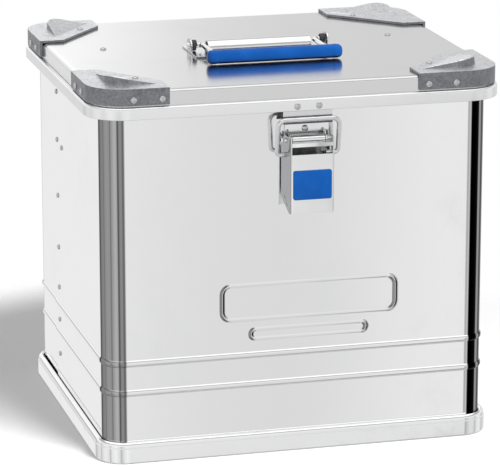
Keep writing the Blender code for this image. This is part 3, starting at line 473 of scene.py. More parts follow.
def hook_steel(g):
    """The keeper's plated steel, with a painted shadow blackening it under its lip, where the wire loop sits.
    """
    _, _, height = g.axes(g.place())
    rubbed = g.noise(g.place(), 420.0, 4.0, 0.6)
    # Painted shadow: everything below the lip's height goes nearly black, mottled by the noise.
    painted_lip_shadow = height.step(SKIRT_BOTTOM - 0.0046, SKIRT_BOTTOM - 0.0060) * (0.75 + rubbed * 0.25)
    colour = g.blend(painted_lip_shadow, (0.80, 0.80, 0.81), (0.04, 0.04, 0.045))
    rough = 0.18 + rubbed * 0.12
    g.shader(Base_Color=colour, Metallic=1.0, Roughness=rough, Normal=g.bump(rubbed, 0.00003, 0.4))


def bright_wire(g):
    drawn = g.noise(g.place(), 500.0, 3.0)
    colour = g.blend(drawn, (0.84, 0.84, 0.85), (0.74, 0.745, 0.76))
    g.shader(
        Base_Color=colour, Metallic=1.0, Roughness=0.1 + drawn * 0.1, Normal=g.bump(drawn, 0.00003, 0.3)
    )


def dark_steel(g):
    oil = g.noise(g.place(), 300.0, 4.0)
    colour = g.blend(oil, (0.05, 0.05, 0.055), (0.13, 0.13, 0.14))
    g.shader(Base_Color=colour, Metallic=1.0, Roughness=0.32 + oil * 0.15, Normal=g.bump(oil, 0.00005, 0.4))


def blue_plastic(g):
    """Moulded blue plastic with a fine grained skin, slightly paler rubbed places and painted shade darkening
    its downward faces.
    """
    cloud = g.noise(g.place(), 35.0, 4.0, 0.6)
    skin_grain = g.noise(g.place(), 2600.0, 2.0, 0.5)
    _, _, up = g.facing()
    body = g.blend(cloud.step(0.35, 0.75), (0.001, 0.060, 0.27), (0.003, 0.085, 0.34))
    # Painted shade: faces that point down turn dark navy.
    colour = g.blend(up.step(-0.25, -0.80), body, (0.0, 0.006, 0.045))
    rough = 0.3 + (cloud - 0.5) * 0.16 + skin_grain * 0.06
    g.shader(
        Base_Color=colour, Roughness=rough, Specular_IOR_Level=0.22,
        Normal=g.bump(skin_grain, 0.00005, 0.35),
    )


def soft_rubber(g):
    dust = g.noise(g.place(), 260.0, 5.0, 0.6)
    colour = g.blend(dust.step(0.4, 0.8), (0.014, 0.014, 0.015), (0.035, 0.035, 0.037))
    g.shader(Base_Color=colour, Roughness=0.55 + dust * 0.25, Normal=g.bump(dust, 0.00008, 0.5))


FINISHES = {
    "body sheet": body_sheet, "lid sheet": lid_sheet, "extrusion": extrusion,
    "foot extrusion": foot_extrusion, "casting": cast_metal,
    "rivet": rivet_metal, "plated steel": plated_steel, "hook steel": hook_steel, "wire": bright_wire,
    "dark steel": dark_steel,
    "blue plastic": blue_plastic, "rubber": soft_rubber,
}


def finish(name):
    """The finish of this name, made once: its material is called after the metal or plastic it stands for."""
    title = f"finish {name}"
    found = bpy.data.materials.get(title)
    if not found:
        found = bpy.data.materials.new(title)
        FINISHES[name](Graph(found))
    return found


# Body

BEAD_HEIGHTS = (0.073, 0.104)
BEAD_HALF = 0.0035
SEAM_Y = 0.074
SEAM_STEP = 0.0009
PLATE_LOW, PLATE_HIGH = (-0.080, 0.142), (0.103, 0.178)
STRIP_LOW, STRIP_HIGH = (-0.050, 0.121), (0.072, 0.131)
RIDGE_HALF = 0.0022
RIDGE_HEIGHT = 0.0006
FIELD_STEP = 0.0012
FLAT_MARGIN = 0.0015


def field_edge(x, z, low, high, radius):
    """Distance from a rounded rectangle's outline."""
    half = Vector(((high[0] - low[0]) / 2 - radius, (high[1] - low[1]) / 2 - radius))
    away = Vector((abs(x - (low[0] + high[0]) / 2), abs(z - (low[1] + high[1]) / 2))) - half
    outside = Vector((max(away.x, 0), max(away.y, 0))).length
    return abs(outside + min(max(away.x, away.y), 0) - radius)


def embossing(x, z):
    """How far a plain raised border stands out of the front panel."""
    edge = min(
        field_edge(x, z, PLATE_LOW, PLATE_HIGH, 0.009),
        field_edge(x, z, STRIP_LOW, STRIP_HIGH, 0.0049),
    )
    share = max(0.0, 1 - edge / RIDGE_HALF)
    return RIDGE_HEIGHT * share * share * (3 - 2 * share)


def bead_push(z):
    for height in BEAD_HEIGHTS:
        away = abs(z - height) / BEAD_HALF
        if away < 1:
            return BEAD_DEPTH * (1 - away ** 2.4) ** 0.8
    return 0.0


def steps_between(low, high, step):
    count = max(1, round((high - low) / step))
    return [low + (high - low) * k / count for k in range(count + 1)]


def body_outline(z, inward):
    """One level of the body's sheet, with columns for the embossing and the lap seams."""
    push = bead_push(z) - inward
    points = rounded_loop(BODY_X + push, BODY_Y + push, BODY_RADIUS + push, z)
    per_corner = CORNER_STEPS + 1
    rear = -SEAM_STEP
    back = [p.copy() for p in points[:2 * per_corner]]
    for p in back:
        centre = Vector((math.copysign(BODY_X - BODY_RADIUS, p.x), BODY_Y - BODY_RADIUS, z))
        p += (p - centre).normalized() * rear
    left = [
        Vector((-BODY_X - push - rear, SEAM_Y + 0.0005, z)),
        Vector((-BODY_X - push, SEAM_Y, z)),
    ]
    right = [
        Vector((BODY_X + push, SEAM_Y, z)),
        Vector((BODY_X + push + rear, SEAM_Y + 0.0005, z)),
    ]
    edge_x, edge_y = BODY_X - BODY_RADIUS - FLAT_MARGIN, BODY_Y - BODY_RADIUS - FLAT_MARGIN
    columns = steps_between(PLATE_LOW[0] - 0.004, PLATE_HIGH[0] + 0.004, FIELD_STEP)
    front = [Vector((x, -BODY_Y - push - embossing(x, z), z)) for x in (-edge_x, *columns, edge_x)]
    back = back[:per_corner] + [
        Vector((x, BODY_Y + push + rear, z)) for x in (edge_x, -edge_x)
    ] + back[per_corner:]
    left = [Vector((-BODY_X - push - rear, edge_y, z)), *left, Vector((-BODY_X - push, -edge_y, z))]
    right = [Vector((BODY_X + push, -edge_y, z)), *right, Vector((BODY_X + push + rear, edge_y, z))]
    return back + left + points[2 * per_corner:3 * per_corner] + front + points[3 * per_corner:] + right


def body_levels():
    low, high = body_box[0].z, body_box[1].z
    levels = {low, high}
    for height in BEAD_HEIGHTS:
        levels.update(steps_between(height - BEAD_HALF, height + BEAD_HALF, BEAD_HALF / 5))
    levels.update(steps_between(STRIP_LOW[1] - 0.004, PLATE_HIGH[1] + 0.004, FIELD_STEP))
    return sorted(levels)


def make_body():
    levels = body_levels()
    outside = [body_outline(z, 0.0) for z in levels]
    inside = [body_outline(z, SHEET) for z in reversed(levels)]
    bm = skin(bmesh.new(), outside + inside, closed=True)
    piece("body_sheet", bm, "case", "body sheet", ["body_shell"])


SEAM_RIVET_Y = 0.0595
SEAM_RIVET_HEIGHTS = (0.339, 0.287, 0.226, 0.169, 0.1245, 0.0885, 0.050)
SINGLE_RIVET_PLACE = (0.036, 0.283)
SEAM_RIVET_LIFT = 0.0001


def make_seam_rivets():
    for side, sign in (("left", -1), ("right", 1)):
        spots = [(SEAM_RIVET_Y, z) for z in SEAM_RIVET_HEIGHTS] + [SINGLE_RIVET_PLACE]
        for number, (y, z) in enumerate(spots, 1):
            matrix = along((sign, 0, 0), (sign * (BODY_X + SEAM_RIVET_LIFT), y, z))
            bm = turned(rivet_profile(0.0029, 0.0014, 0.004, 0.0), matrix, 20)
            piece(f"seam_rivet_{side}_{number}", bm, "case", "rivet")


BASE_RADIUS = 0.030
BASE_WALL = 0.002
SHELF_TOP = 0.011
SHELF_THICKNESS = 0.0018
LIP_THICKNESS = 0.0013
LIP_HEIGHT = 0.004
FOOT_REACH = 0.0063


def make_base():
    out, floor, wall = base_box[1].x - BODY_X, SHELF_TOP, BASE_WALL
    top = base_box[1].z
    shelf = floor - SHELF_THICKNESS
    groove = -SHEET - GAP
    lip = groove - LIP_THICKNESS
    foot = -FOOT_REACH
    r, br = BODY_RADIUS, BASE_RADIUS
    profile = [
        (foot, r + foot, 0), (out - 0.0018, br - 0.0018, 0), (out - 0.0007, br - 0.0007, 0.0005),
        (out, br, 0.0018), (out, br, top - 0.0062), (out - 0.0006, br - 0.0006, top - 0.0056),
        (out - 0.0006, br - 0.0006, top - 0.0040), (out - 0.0010, br - 0.001, top - 0.0022),
        (out - 0.0020, br - 0.002, top - 0.0008), (out - 0.0036, br - 0.0036, top),
        (GAP + 0.0016, r + GAP + 0.0016, top - 0.0002), (GAP + 0.0006, r + GAP + 0.0006, top - 0.0009),
        (GAP, r + GAP, top - 0.0022), (GAP, r + GAP, floor), (groove, r + groove, floor),
        (groove, r + groove, floor + LIP_HEIGHT), (lip, r + lip, floor + LIP_HEIGHT), (lip, r + lip, floor),
        (foot, r + foot, floor), (foot, r + foot, shelf), (out - wall, br - wall, shelf),
        (out - wall, br - wall, wall), (foot, r + foot, wall),
    ]
    piece("base_extrusion", frame_ring(profile), "case", "foot extrusion", ["base_frame"], bevel=0.0003)


RIM_WALL = 0.0015
RIM_FOLD = 0.0012


def make_rim():
    inner = -SHEET - GAP
    outside, inside = rim_box[1].x - BODY_X, inner - RIM_WALL
    legs, under = rim_box[0].z, RIM_TOP - RIM_FOLD
    r = BODY_RADIUS
    profile = [
        (GAP, r + GAP, legs), (outside, r + outside, legs), (outside, r + outside, RIM_TOP - 0.0009),
        (outside - 0.0003, r + outside - 0.0003, RIM_TOP - 0.0002),
        (outside - 0.0009, r + outside - 0.0009, RIM_TOP),
        (inside + 0.0009, r + inside + 0.0009, RIM_TOP),
        (inside + 0.0003, r + inside + 0.0003, RIM_TOP - 0.0002),
        (inside, r + inside, RIM_TOP - 0.0009), (inside, r + inside, legs), (inner, r + inner, legs),
        (inner, r + inner, under), (GAP, r + GAP, under),
    ]
    piece("rolled_rim", frame_ring(profile), "case", "extrusion", ["body_rim"], bevel=0.0002)


# Lid

EDGE = 0.0030


def make_pan():
    """The lid's pressed pan: a rounded edge that runs into a flat top."""
    low = pan_box[0].z
    outside = [rounded_loop(BAND_X, BAND_Y, BAND_RADIUS, low)]
    for step in range(7):
        turn = step * math.pi / 2 / 6
        inset = EDGE * (1 - math.cos(turn))
        z = LID_TOP - 0.0003 - EDGE * (1 - math.sin(turn))
        outside.append(rounded_loop(BAND_X - inset, BAND_Y - inset, BAND_RADIUS - inset, z))
    for inset, z in ((0.0045, LID_TOP - 0.0001), (0.0065, LID_TOP), (0.011, LID_TOP)):
        outside.append(rounded_loop(BAND_X - inset, BAND_Y - inset, BAND_RADIUS - inset, z))
    inside = []
    for inset, z in (
        (SHEET, low), (SHEET, LID_TOP - EDGE), (SHEET + 0.0006, LID_TOP - 0.0021), (EDGE, LID_TOP - 0.0015),
        (0.012, LID_TOP - SHEET)
    ):
        inside.append(rounded_loop(BAND_X - inset, BAND_Y - inset, BAND_RADIUS - inset, z))
    bm = skin(bmesh.new(), outside[::-1] + inside, closed=False)
    even_shading(piece("lid_pan", bm, "lid", "lid sheet", ["lid_panel"]))


def make_skirt():
    out = SKIRT_X - BODY_X
    band = BAND_X - BODY_X
    groove_out, groove_in = band + GAP, band - SHEET - GAP
    web = groove_in - 0.0015
    slot_out = out - 0.0014
    slot_in = slot_out - 0.0022
    mouth = GAP + 0.0015 + 0.0018
    seat = -SHEET - GAP - 0.0022
    floor = SKIRT_TOP - 0.0077
    top = skirt_box[1].z
    under = top - 0.0012
    arc, skirt_arc = BAND_RADIUS - band, 0.040 - out
    low = SKIRT_BOTTOM
    profile = [
        (out - 0.0002, skirt_arc + out - 0.0002, low + 0.0002), (out, skirt_arc + out, low + 0.0008),
        (out, skirt_arc + out, SKIRT_TOP - 0.0030),
        (out - 0.0003, skirt_arc + out - 0.0003, SKIRT_TOP - 0.0017),
        (out - 0.0011, skirt_arc + out - 0.0011, SKIRT_TOP - 0.0006),
        (out - 0.0024, skirt_arc + out - 0.0024, SKIRT_TOP),
        (groove_out, arc + groove_out, SKIRT_TOP), (groove_out, arc + groove_out, floor),
        (groove_in, arc + groove_in, floor), (groove_in, arc + groove_in, top),
        (seat, BODY_RADIUS + seat, top), (seat, BODY_RADIUS + seat, under), (web, arc + web, under),
        (web, arc + web, low + 0.0033), (mouth, 0.027, low + 0.0033), (mouth, 0.027, low + 0.0018),
        (slot_in, skirt_arc + slot_in, low + 0.0018), (slot_in, skirt_arc + slot_in, SKIRT_TOP - 0.0016),
        (slot_out, skirt_arc + slot_out, SKIRT_TOP - 0.0016), (slot_out, skirt_arc + slot_out, low),
        (out - 0.0008, skirt_arc + out - 0.0008, low),
    ]
    piece("lid_skirt", frame_ring(profile), "lid", "extrusion", ["lid_frame"], bevel=0.0002)


# Castings

CASTING_WALL = 0.0027
WING_Y, WING_END_X, WING_END_Y = 0.104, 0.034, 0.025
LEDGE, LUG_FOOT, LUG_HEIGHT, LUG_RADIUS = 0.020, 0.016, 0.009, 0.022


def casting_outline(wing, inset, reach):
    corner = BAND_RADIUS + GAP + CASTING_WALL - inset
    points = [(wing + reach, inset)]
    for step in range(CORNER_STEPS + 1):
        turn = -math.pi / 2 - step * math.pi / 2 / CORNER_STEPS
        points.append((inset + corner * (1 + math.cos(turn)), inset + corner * (1 + math.sin(turn))))
    points += [
        (inset, WING_Y + reach), (WING_END_Y + reach, WING_Y + reach), (wing + reach, WING_END_X + reach)
    ]
    return points


def lug_loops(wing, place, top, root):
    """The raised lug: straight outer walls with a little draft, and a top that slopes down to the plate."""
    slope = Vector((WING_END_Y - wing, WING_Y - WING_END_X)).normalized()
    inward = Vector((-slope.y, slope.x))
    if inward.x > 0:
        inward = -inward
    start = Vector((wing, WING_END_X)) + inward * LUG_FOOT

    def ring_at(inset, scale):
        edge = LEDGE + inset
        radius = LUG_RADIUS - inset
        first = start + slope * ((edge - start.y) / slope.y)
        last = start + slope * ((edge - start.x) / slope.x)
        points = [first]
        for step in range(CORNER_STEPS + 1):
            turn = -math.pi / 2 - step * math.pi / 2 / CORNER_STEPS
            points.append(
                Vector((edge + radius * (1 + math.cos(turn)), edge + radius * (1 + math.sin(turn))))
            )
        points.append(last)
        rise = [max((p - start).dot(inward), 0) * scale for p in points]
        return points, rise

    plain, rise = ring_at(0.0, 1.0)
    unit = LUG_HEIGHT / max(rise)
    loops = [[place(p.x, p.y, root) for p in plain], [place(p.x, p.y, top) for p in plain]]
    drafted, rise = ring_at(0.0009, unit)
    loops.append([place(p.x, p.y, top + max(r - 0.0012, 0.0)) for p, r in zip(drafted, rise)])
    crown, rise = ring_at(0.0021, unit)
    loops.append([place(p.x, p.y, top + min(r + 0.0001, LUG_HEIGHT)) for p, r in zip(crown, rise)])
    return loops


def make_castings():
    for end, sign_y in (("front", -1), ("rear", 1)):
        for side, sign_x in (("left", -1), ("right", 1)):
            node = f"corner_{end}_{side}"
            low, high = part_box(node)
            wing = high.x - low.x
            outer_x = high.x if sign_x > 0 else -low.x
            outer_y = high.y if sign_y > 0 else -low.y
            top, foot = high.z - LUG_HEIGHT, low.z

            def place(a, b, z):
                return Vector((sign_x * (outer_x - a), sign_y * (outer_y - b), z))

            solid = extruded(casting_outline(wing, 0, 0), foot, top, place)
            hollow = extruded(
                casting_outline(wing, CASTING_WALL, 0.004), foot - 0.004, LID_TOP + GAP, place
            )
            lug = skin(bmesh.new(), lug_loops(wing, place, top, top - 0.0012), closed=False)
            bm = shaped(solid, [(hollow, "DIFFERENCE"), (lug, "UNION")])
            piece(f"stacking_{node}", bm, "lid", "casting", [node], bevel=0.0009, segments=3)


# Rivets


def rivet_profile(radius, height, shank, tail):
    """A blind rivet's section: a domed head with the dimple its mandrel leaves, a shank and a rolled tail."""
    profile = [(radius * 0.22, height * 0.55), (radius * 0.28, height * 0.95), (radius * 0.42, height)]
    for turn in (0.62, 0.85, 1.1, 1.35):
        profile.append((radius * math.sin(turn), height * (0.12 + 0.88 * math.cos(turn) ** 0.8)))
    profile += [
        (radius, height * 0.14), (radius * 0.98, 0.00002), (radius * 0.55, 0.00002), (radius * 0.55, -shank)
    ]
    if tail:
        profile += [
            (radius * 0.8, -shank), (radius * 0.8, -shank - tail * 0.7), (radius * 0.5, -shank - tail)
        ]
    return profile


def make_rivets():
    head, tail = 0.0018, 0.0008
    for node in sorted(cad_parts):
        if "rivet" not in node:
            continue
        low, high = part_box(node)
        centre, size = (low + high) / 2, high - low
        if node.startswith("corner"):
            way = node.rsplit("_", 1)[1]
            outward = {
                "t": (0, 0, 1), "x": (0, math.copysign(1, centre.y), 0)
            }.get(way[0], (math.copysign(1, centre.x), 0, 0))
            body = "lid"
        elif node.startswith(("handle", "strap")):
            outward, body = (0, 0, 1), "lid"
        else:
            outward, body = (0, -1, 0), "lid" if node.startswith("keeper") else "case"
        outward = Vector(outward)
        length = abs(outward.dot(size))
        surface = centre + outward * (length / 2 - 0.0015)
        ends = 0.0 if node.startswith("keeper") else tail
        profile = rivet_profile(0.0034, head, length - 0.0015 - ends, ends)
        piece(f"{node}_head", turned(profile, along(outward, surface), 24), body, "rivet", [node])


# Handle



def make_handle():
    low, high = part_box("handle_bracket")
    middle = (low.x + high.x) / 2
    half = (high.x - low.x) / 2
    bail_low, bail_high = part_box("handle_bail")
    grip_low, grip_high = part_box("handle_grip")
    axle_z = (grip_low.z + grip_high.z) / 2
    axle_y = (low.y + high.y) / 2
    grip_y = (grip_low.y + grip_high.y) / 2
    plate, tunnel, tunnel_half, height = 0.0015, 0.0095, 0.0555, 0.012
    base = low.z
    centre = base + height - tunnel
    inner = tunnel - plate
    back, front = axle_y + tunnel, axle_y - tunnel
    turns = [math.pi * k / 20 for k in range(21)]
    over = [(axle_y + tunnel * math.cos(a), centre + tunnel * math.sin(a)) for a in turns]
    under = [(axle_y + inner * math.cos(a), centre + inner * math.sin(a)) for a in reversed(turns)]
    outline = [
        (high.y, base), (high.y, base + plate), (back + 0.0025, base + plate),
        (back + 0.0006, base + plate + 0.0004)
    ]
    outline += over
    outline += [
        (front - 0.0006, base + plate + 0.0004), (front - 0.0025, base + plate), (low.y, base + plate),
        (low.y, base)
    ]
    outline += [(front + plate, base)] + under + [(back - plate, base)]
    body = extruded(outline, -tunnel_half, tunnel_half, across_x)
    joins = []
    for sign in (-1, 1):
        inside, outside = sorted((sign * (tunnel_half - 0.004), sign * half))
        joins.append((box((inside, low.y, base), (outside, high.y, base + plate)), "UNION"))
        ear_half, top = 0.0095, high.z
        ear = [(axle_y - ear_half, base + 0.0005), (axle_y + ear_half, base + 0.0005)]
        for step in range(13):
            turn = math.pi * step / 12
            ear.append(
                (axle_y + ear_half * math.cos(turn), top - ear_half * 0.75 + ear_half * 0.75 * math.sin(turn))
            )
        inside, outside = sorted((sign * (half - plate), sign * half))
        joins.append((extruded(ear, inside, outside, across_x), "UNION"))
    hole = along((1, 0, 0), (0, axle_y, axle_z))
    joins.append((turned([(0.0034, half + 0.002), (0.0034, half - 0.005)], hole, 24), "DIFFERENCE"))
    joins.append((turned([(0.0034, 0.005 - half), (0.0034, -half - 0.002)], hole, 24), "DIFFERENCE"))
    bm = shaped(body, joins)
    piece("handle_housing", bm, "lid", "plated steel", ["handle_bracket"], bevel=0.0003, shift=middle)

    arm, bend, radius = 0.0605, 0.005, 0.003
    reach = (bail_high.x - bail_low.x) / 2
    points = [
        (reach, axle_y), (arm, axle_y), (arm, grip_y), (-arm, grip_y), (-arm, axle_y), (-reach, axle_y)
    ]
    path = bent([(x, y, axle_z) for x, y in points], (bend,) * 4)
    path[0].x -= radius * 0.3
    path[-1].x += radius * 0.3
    piece("handle_wire", wire(path, radius, (0, 0, 1)), "handle", "wire", ["handle_bail"], shift=middle)

    for side, sign in (("left", -1), ("right", 1)):
        bush_low, bush_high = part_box(f"handle_bush_{side}")
        spring = coil(bush_low.x + 0.001, bush_high.x - 0.001, axle_y, axle_z, 0.0048, 0.00095, 4.5)
        piece(f"handle_spring_{side}", spring, "lid", "dark steel", [f"handle_bush_{side}"])
    make_grip(middle, grip_low, grip_high, grip_y, axle_z)


def coil(x0, x1, y, z, radius, thick, turns):
    """A coil spring along X."""
    steps = int(turns * 24)
    loops = []
    for k in range(steps + 1):
        turn = math.tau * turns * k / steps
        out = Vector((0, math.cos(turn), math.sin(turn)))
        centre = Vector((x0 + (x1 - x0) * k / steps, y, z)) + out * radius
        loops.append([centre + out * a + Vector((b, 0, 0)) for a, b in circle(thick, 10)])
    return skin(bmesh.new(), loops, closed=False)


def make_grip(middle, low, high, y, z):
    """The blue grip: a rounded oval bar, squared off a little all round, with stepped ends."""
    half, radius = (high.x - low.x) / 2, (high.z - low.z) / 2
    stations = [
        (-half, 0.52), (-half + 0.0004, 0.66), (-half + 0.0014, 0.82), (-half + 0.003, 0.93),
        (-half + 0.005, 0.985),
        (-half + 0.0075, 1.0), (-half + 0.0094, 1.0), (-half + 0.0100, 0.965), (-half + 0.0112, 0.965),
        (-half + 0.0118, 0.985),
    ]
    stations += [(-x, share) for x, share in reversed(stations)]
    loops = []
    for x, share in stations:
        ring = []
        for k in range(40):
            turn = math.tau * k / 40
            a, b = math.cos(turn), math.sin(turn)
            squarish = (abs(a) ** 2.4 + abs(b) ** 2.4) ** (-1 / 2.4)
            ring.append(Vector((x, y + radius * share * a * squarish, z + radius * share * b * squarish)))
        loops.append(ring)
    bm = skin(bmesh.new(), loops, closed=False)
    piece("blue_grip", bm, "handle", "blue plastic", ["handle_grip"], shift=middle)


# Latch


def make_latch():
    base_low, base_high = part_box("latch_base")
    pin_low, pin_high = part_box("latch_pin")
    lever_low, lever_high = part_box("latch_lever")
    inlay_low, inlay_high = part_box("latch_inlay")
    bail_low, bail_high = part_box("latch_bail")
    keeper_low, keeper_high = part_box("latch_keeper")
    middle = (base_low.x + base_high.x) / 2
    pivot_y, pivot_z = (pin_low.y + pin_high.y) / 2, (pin_low.z + pin_high.z) / 2
    back, plate = base_high.y, 0.0015
    front = back - plate
    half = (base_high.x - base_low.x) / 2
    body = box((-half, front, base_low.z), (half, back, base_high.z))
    joins = []
    for sign in (-1, 1):
        low, high = sorted((sign * 0.0175, sign * 0.019))
        ear = [(front + 0.0005, pivot_z - 0.009), (front + 0.0005, pivot_z + 0.009)]
        for step in range(15):
            turn = math.radians(70 + 220 * step / 14)
            ear.append((pivot_y + 0.0045 * math.cos(turn), pivot_z + 0.0045 * math.sin(turn)))
        joins.append((extruded(ear, low, high, across_x), "UNION"))
    pin_axis = along((1, 0, 0), (0, pivot_y, pivot_z))
    joins.append((turned([(0.0023, 0.03), (0.0023, -0.03)], pin_axis, 24), "DIFFERENCE"))
    piece(
        "latch_back_plate", shaped(body, joins), "case", "plated steel", ["latch_base"], bevel=0.0003,
        shift=middle
    )

    reach = (pin_high.x - pin_low.x) / 2
    barrel, r, R = 0.0172, 0.002, 0.0045
    profile = [
        (r * 0.7, reach), (r, reach - 0.0006), (r, barrel), (R - 0.0004, barrel), (R, barrel - 0.0005)
    ]
    profile += [(rad, -h) for rad, h in reversed(profile)]
    piece("latch_pivot", turned(profile, pin_axis, 32), "case", "plated steel", ["latch_pin"], shift=middle)
    make_lever(lever_low, lever_high, pivot_y, pivot_z, bail_low)
    make_inlay(inlay_low, inlay_high)

    wire_radius = 0.0024
    side = (bail_high.x - bail_low.x) / 2 - wire_radius
    foot_y = -BODY_Y - 0.011
    foot_z = bail_low.z + wire_radius
    bar_y, bar_z = bail_low.y + wire_radius, bail_high.z - wire_radius
    points = [(0.020, foot_y, foot_z), (side, foot_y, foot_z), (side, bar_y, bar_z)]
    points += [(-x, y, z) for x, y, z in reversed(points)]
    path = bent(points, (0.004, 0.0075, 0.0075, 0.004))
    normal = Vector((1, 0, 0)).cross(Vector((0, bar_y - foot_y, bar_z - foot_z))).normalized()
    piece("latch_loop", wire(path, wire_radius, normal), "latch_bail", "wire", ["latch_bail"], shift=middle)

    front, back = keeper_low.y + 0.0012, keeper_high.y
    low, top = keeper_low.z + 0.0003, keeper_high.z
    outline = [
        (front, top), (front, low + 0.0046), (front - 0.0003, low + 0.0036), (front - 0.0010, low + 0.0026),
        (front - 0.0012, low + 0.0016), (front - 0.0012, low + 0.0004), (front - 0.0009, low - 0.0002),
        (front - 0.0004, low - 0.0002), (back - 0.0003, low + 0.0019), (back, low + 0.0028), (back, top),
    ]
    half = (keeper_high.x - keeper_low.x) / 2
    bm = extruded(outline, -half, half, across_x)
    piece("latch_hook", bm, "lid", "hook steel", ["latch_keeper"], bevel=0.0003, shift=middle)


def make_lever(low, high, pivot_y, pivot_z, bail_low):
    """The toggle lever: a flat front, flared side walls, a slot under its bridge and holes."""
    middle = (low.x + high.x) / 2
    front, back, wall = low.y, high.y, 0.0015
    foot = (high.x - low.x) / 2
    outer = foot - 0.0045
    slant = wall * 1.12
    outline = [
        (-foot, back), (-outer - 0.0003, front + 0.0022), (-outer + 0.0006, front + 0.0006),
        (-outer + 0.0021, front),
        (outer - 0.0021, front), (outer - 0.0006, front + 0.0006), (outer + 0.0003, front + 0.0022),
        (foot, back),
        (foot - slant, back), (outer - slant + 0.0004, front + wall),
        (slant - outer - 0.0004, front + wall),
        (slant - foot, back),
    ]
    inside = outer - slant + 0.0002
    behind = front + wall + 0.001
    far = foot + 0.002
    cuts = [
        box((-inside, front - 0.002, 0.3155), (inside, behind, 0.3235)),
        box((-inside, front - 0.002, 0.3272), (inside, behind, high.z + 0.002)),
        extruded([(-BODY_Y, low.z - 0.002), (front + wall + 0.0005, low.z - 0.002), (-BODY_Y, low.z + 0.018)], -far, far, across_x),
        extruded([
            (-BODY_Y, pivot_z - 0.006), (pivot_y + 0.0062, pivot_z - 0.002),
            (pivot_y + 0.0062, pivot_z + 0.0015),
            (pivot_y + 0.0050, pivot_z + 0.0035), (pivot_y + 0.0030, high.z + 0.002),
            (-BODY_Y, high.z + 0.002),
        ], -far, far, across_x),
    ]
    for y, z, radius in (
        (pivot_y, pivot_z, 0.0024), (-BODY_Y - 0.011, bail_low.z + 0.0024, 0.0028),
        (back - 0.0085, low.z + 0.0155, 0.0021), (back - 0.0125, low.z + 0.0095, 0.0021)
    ):
        for sign in (-1, 1):
            matrix = along((sign, 0, 0), (sign * far, y, z))
            cuts.append(turned([(radius, 0), (radius, -0.012)], matrix, 24))
    bm = shaped(extruded(outline, low.z, high.z, upwards), [(cut, "DIFFERENCE") for cut in cuts])
    piece(
        "latch_handle", bm, "latch_lever", "plated steel", ["latch_lever"], bevel=0.0004, shift=middle,
        segments=3
    )


def make_inlay(low, high):
    """The blue inlay: a plain soft-edged tile."""
    middle = (low + high) / 2
    half = Vector(((high.x - low.x) / 2, 0, (high.z - low.z) / 2))
    back, front = high.y, low.y
    loops = []
    for inset, y in ((0.0, back), (0.0, front + 0.0004), (0.0003, front + 0.0001), (0.0007, front)):
        ring = rounded_loop(half.x - inset, half.z - inset, 0.0022 - inset * 0.5, 0, 6)
        loops.append([Vector((p.x, y, middle.z + p.y)) for p in ring])
    bm = skin(bmesh.new(), loops, closed=False)
    piece("blue_inlay", bm, "latch_lever", "blue plastic", ["latch_inlay"], shift=middle.x)


# Hinges


def make_hinges():
    pin_low, pin_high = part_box("hinge_pin_left")
    axis_y, axis_z = (pin_low.y + pin_high.y) / 2, (pin_low.z + pin_high.z) / 2
    knuckle, leaf, half, inner = 0.004, 0.002, 0.020, 0.0068
    for side in ("left", "right"):
        low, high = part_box(f"hinge_body_leaf_{side}")
        lid_low, lid_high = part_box(f"hinge_lid_leaf_{side}")
        x = (low.x + high.x) / 2
        axis = along((1, 0, 0), (0, axis_y, axis_z))
        bore = turned([(0.0023, 0.03), (0.0023, -0.03)], axis, 24)
        plate = box((-half, low.y, low.z), (half, low.y + leaf, axis_z - 0.001))
        arm = [
            (low.y + 0.0005, axis_z - 0.001), (low.y + 0.0005, axis_z - 0.012),
            (low.y + leaf, axis_z - 0.012),
            (axis_y - 0.003, axis_z - 0.0045), (axis_y, axis_z - knuckle * 0.9), (axis_y, axis_z - 0.001),
        ]
        joins = [
            (extruded(arm, -inner + 0.0004, inner - 0.0004, across_x), "UNION"),
            (turned([(knuckle, inner), (knuckle, -inner)], axis, 32), "UNION"),
            (bore, "DIFFERENCE"),
        ]
        bm = shaped(plate, joins)
        piece(
            f"hinge_lower_{side}", bm, "case", "plated steel", [f"hinge_body_leaf_{side}"], bevel=0.0003,
            shift=x
        )
        for number, reach in enumerate((-0.013, 0.013), 1):
            spot = along((0, 1, 0), (x + reach, low.y + leaf, low.z + 0.011))
            piece(
                f"hinge_rivet_{side}_{number}", turned(rivet_profile(0.0028, 0.0013, 0.001, 0.0), spot, 20),
                "case", "rivet"
            )
        make_lid_leaf(side, x, lid_low, lid_high, axis_y, axis_z, knuckle, leaf, half, inner)
        reach = (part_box(f"hinge_pin_{side}")[1].x - x)
        profile = [
            (0.0016, reach), (0.0028, reach - 0.0004), (0.003, reach - 0.0009), (0.0020, reach - 0.001),
            (0.0020, -reach + 0.0004), (0.0013, -reach)
        ]
        piece(
            f"hinge_rod_{side}", turned(profile, along((1, 0, 0), (x, axis_y, axis_z)), 24), "case", "wire",
            [f"hinge_pin_{side}"]
        )


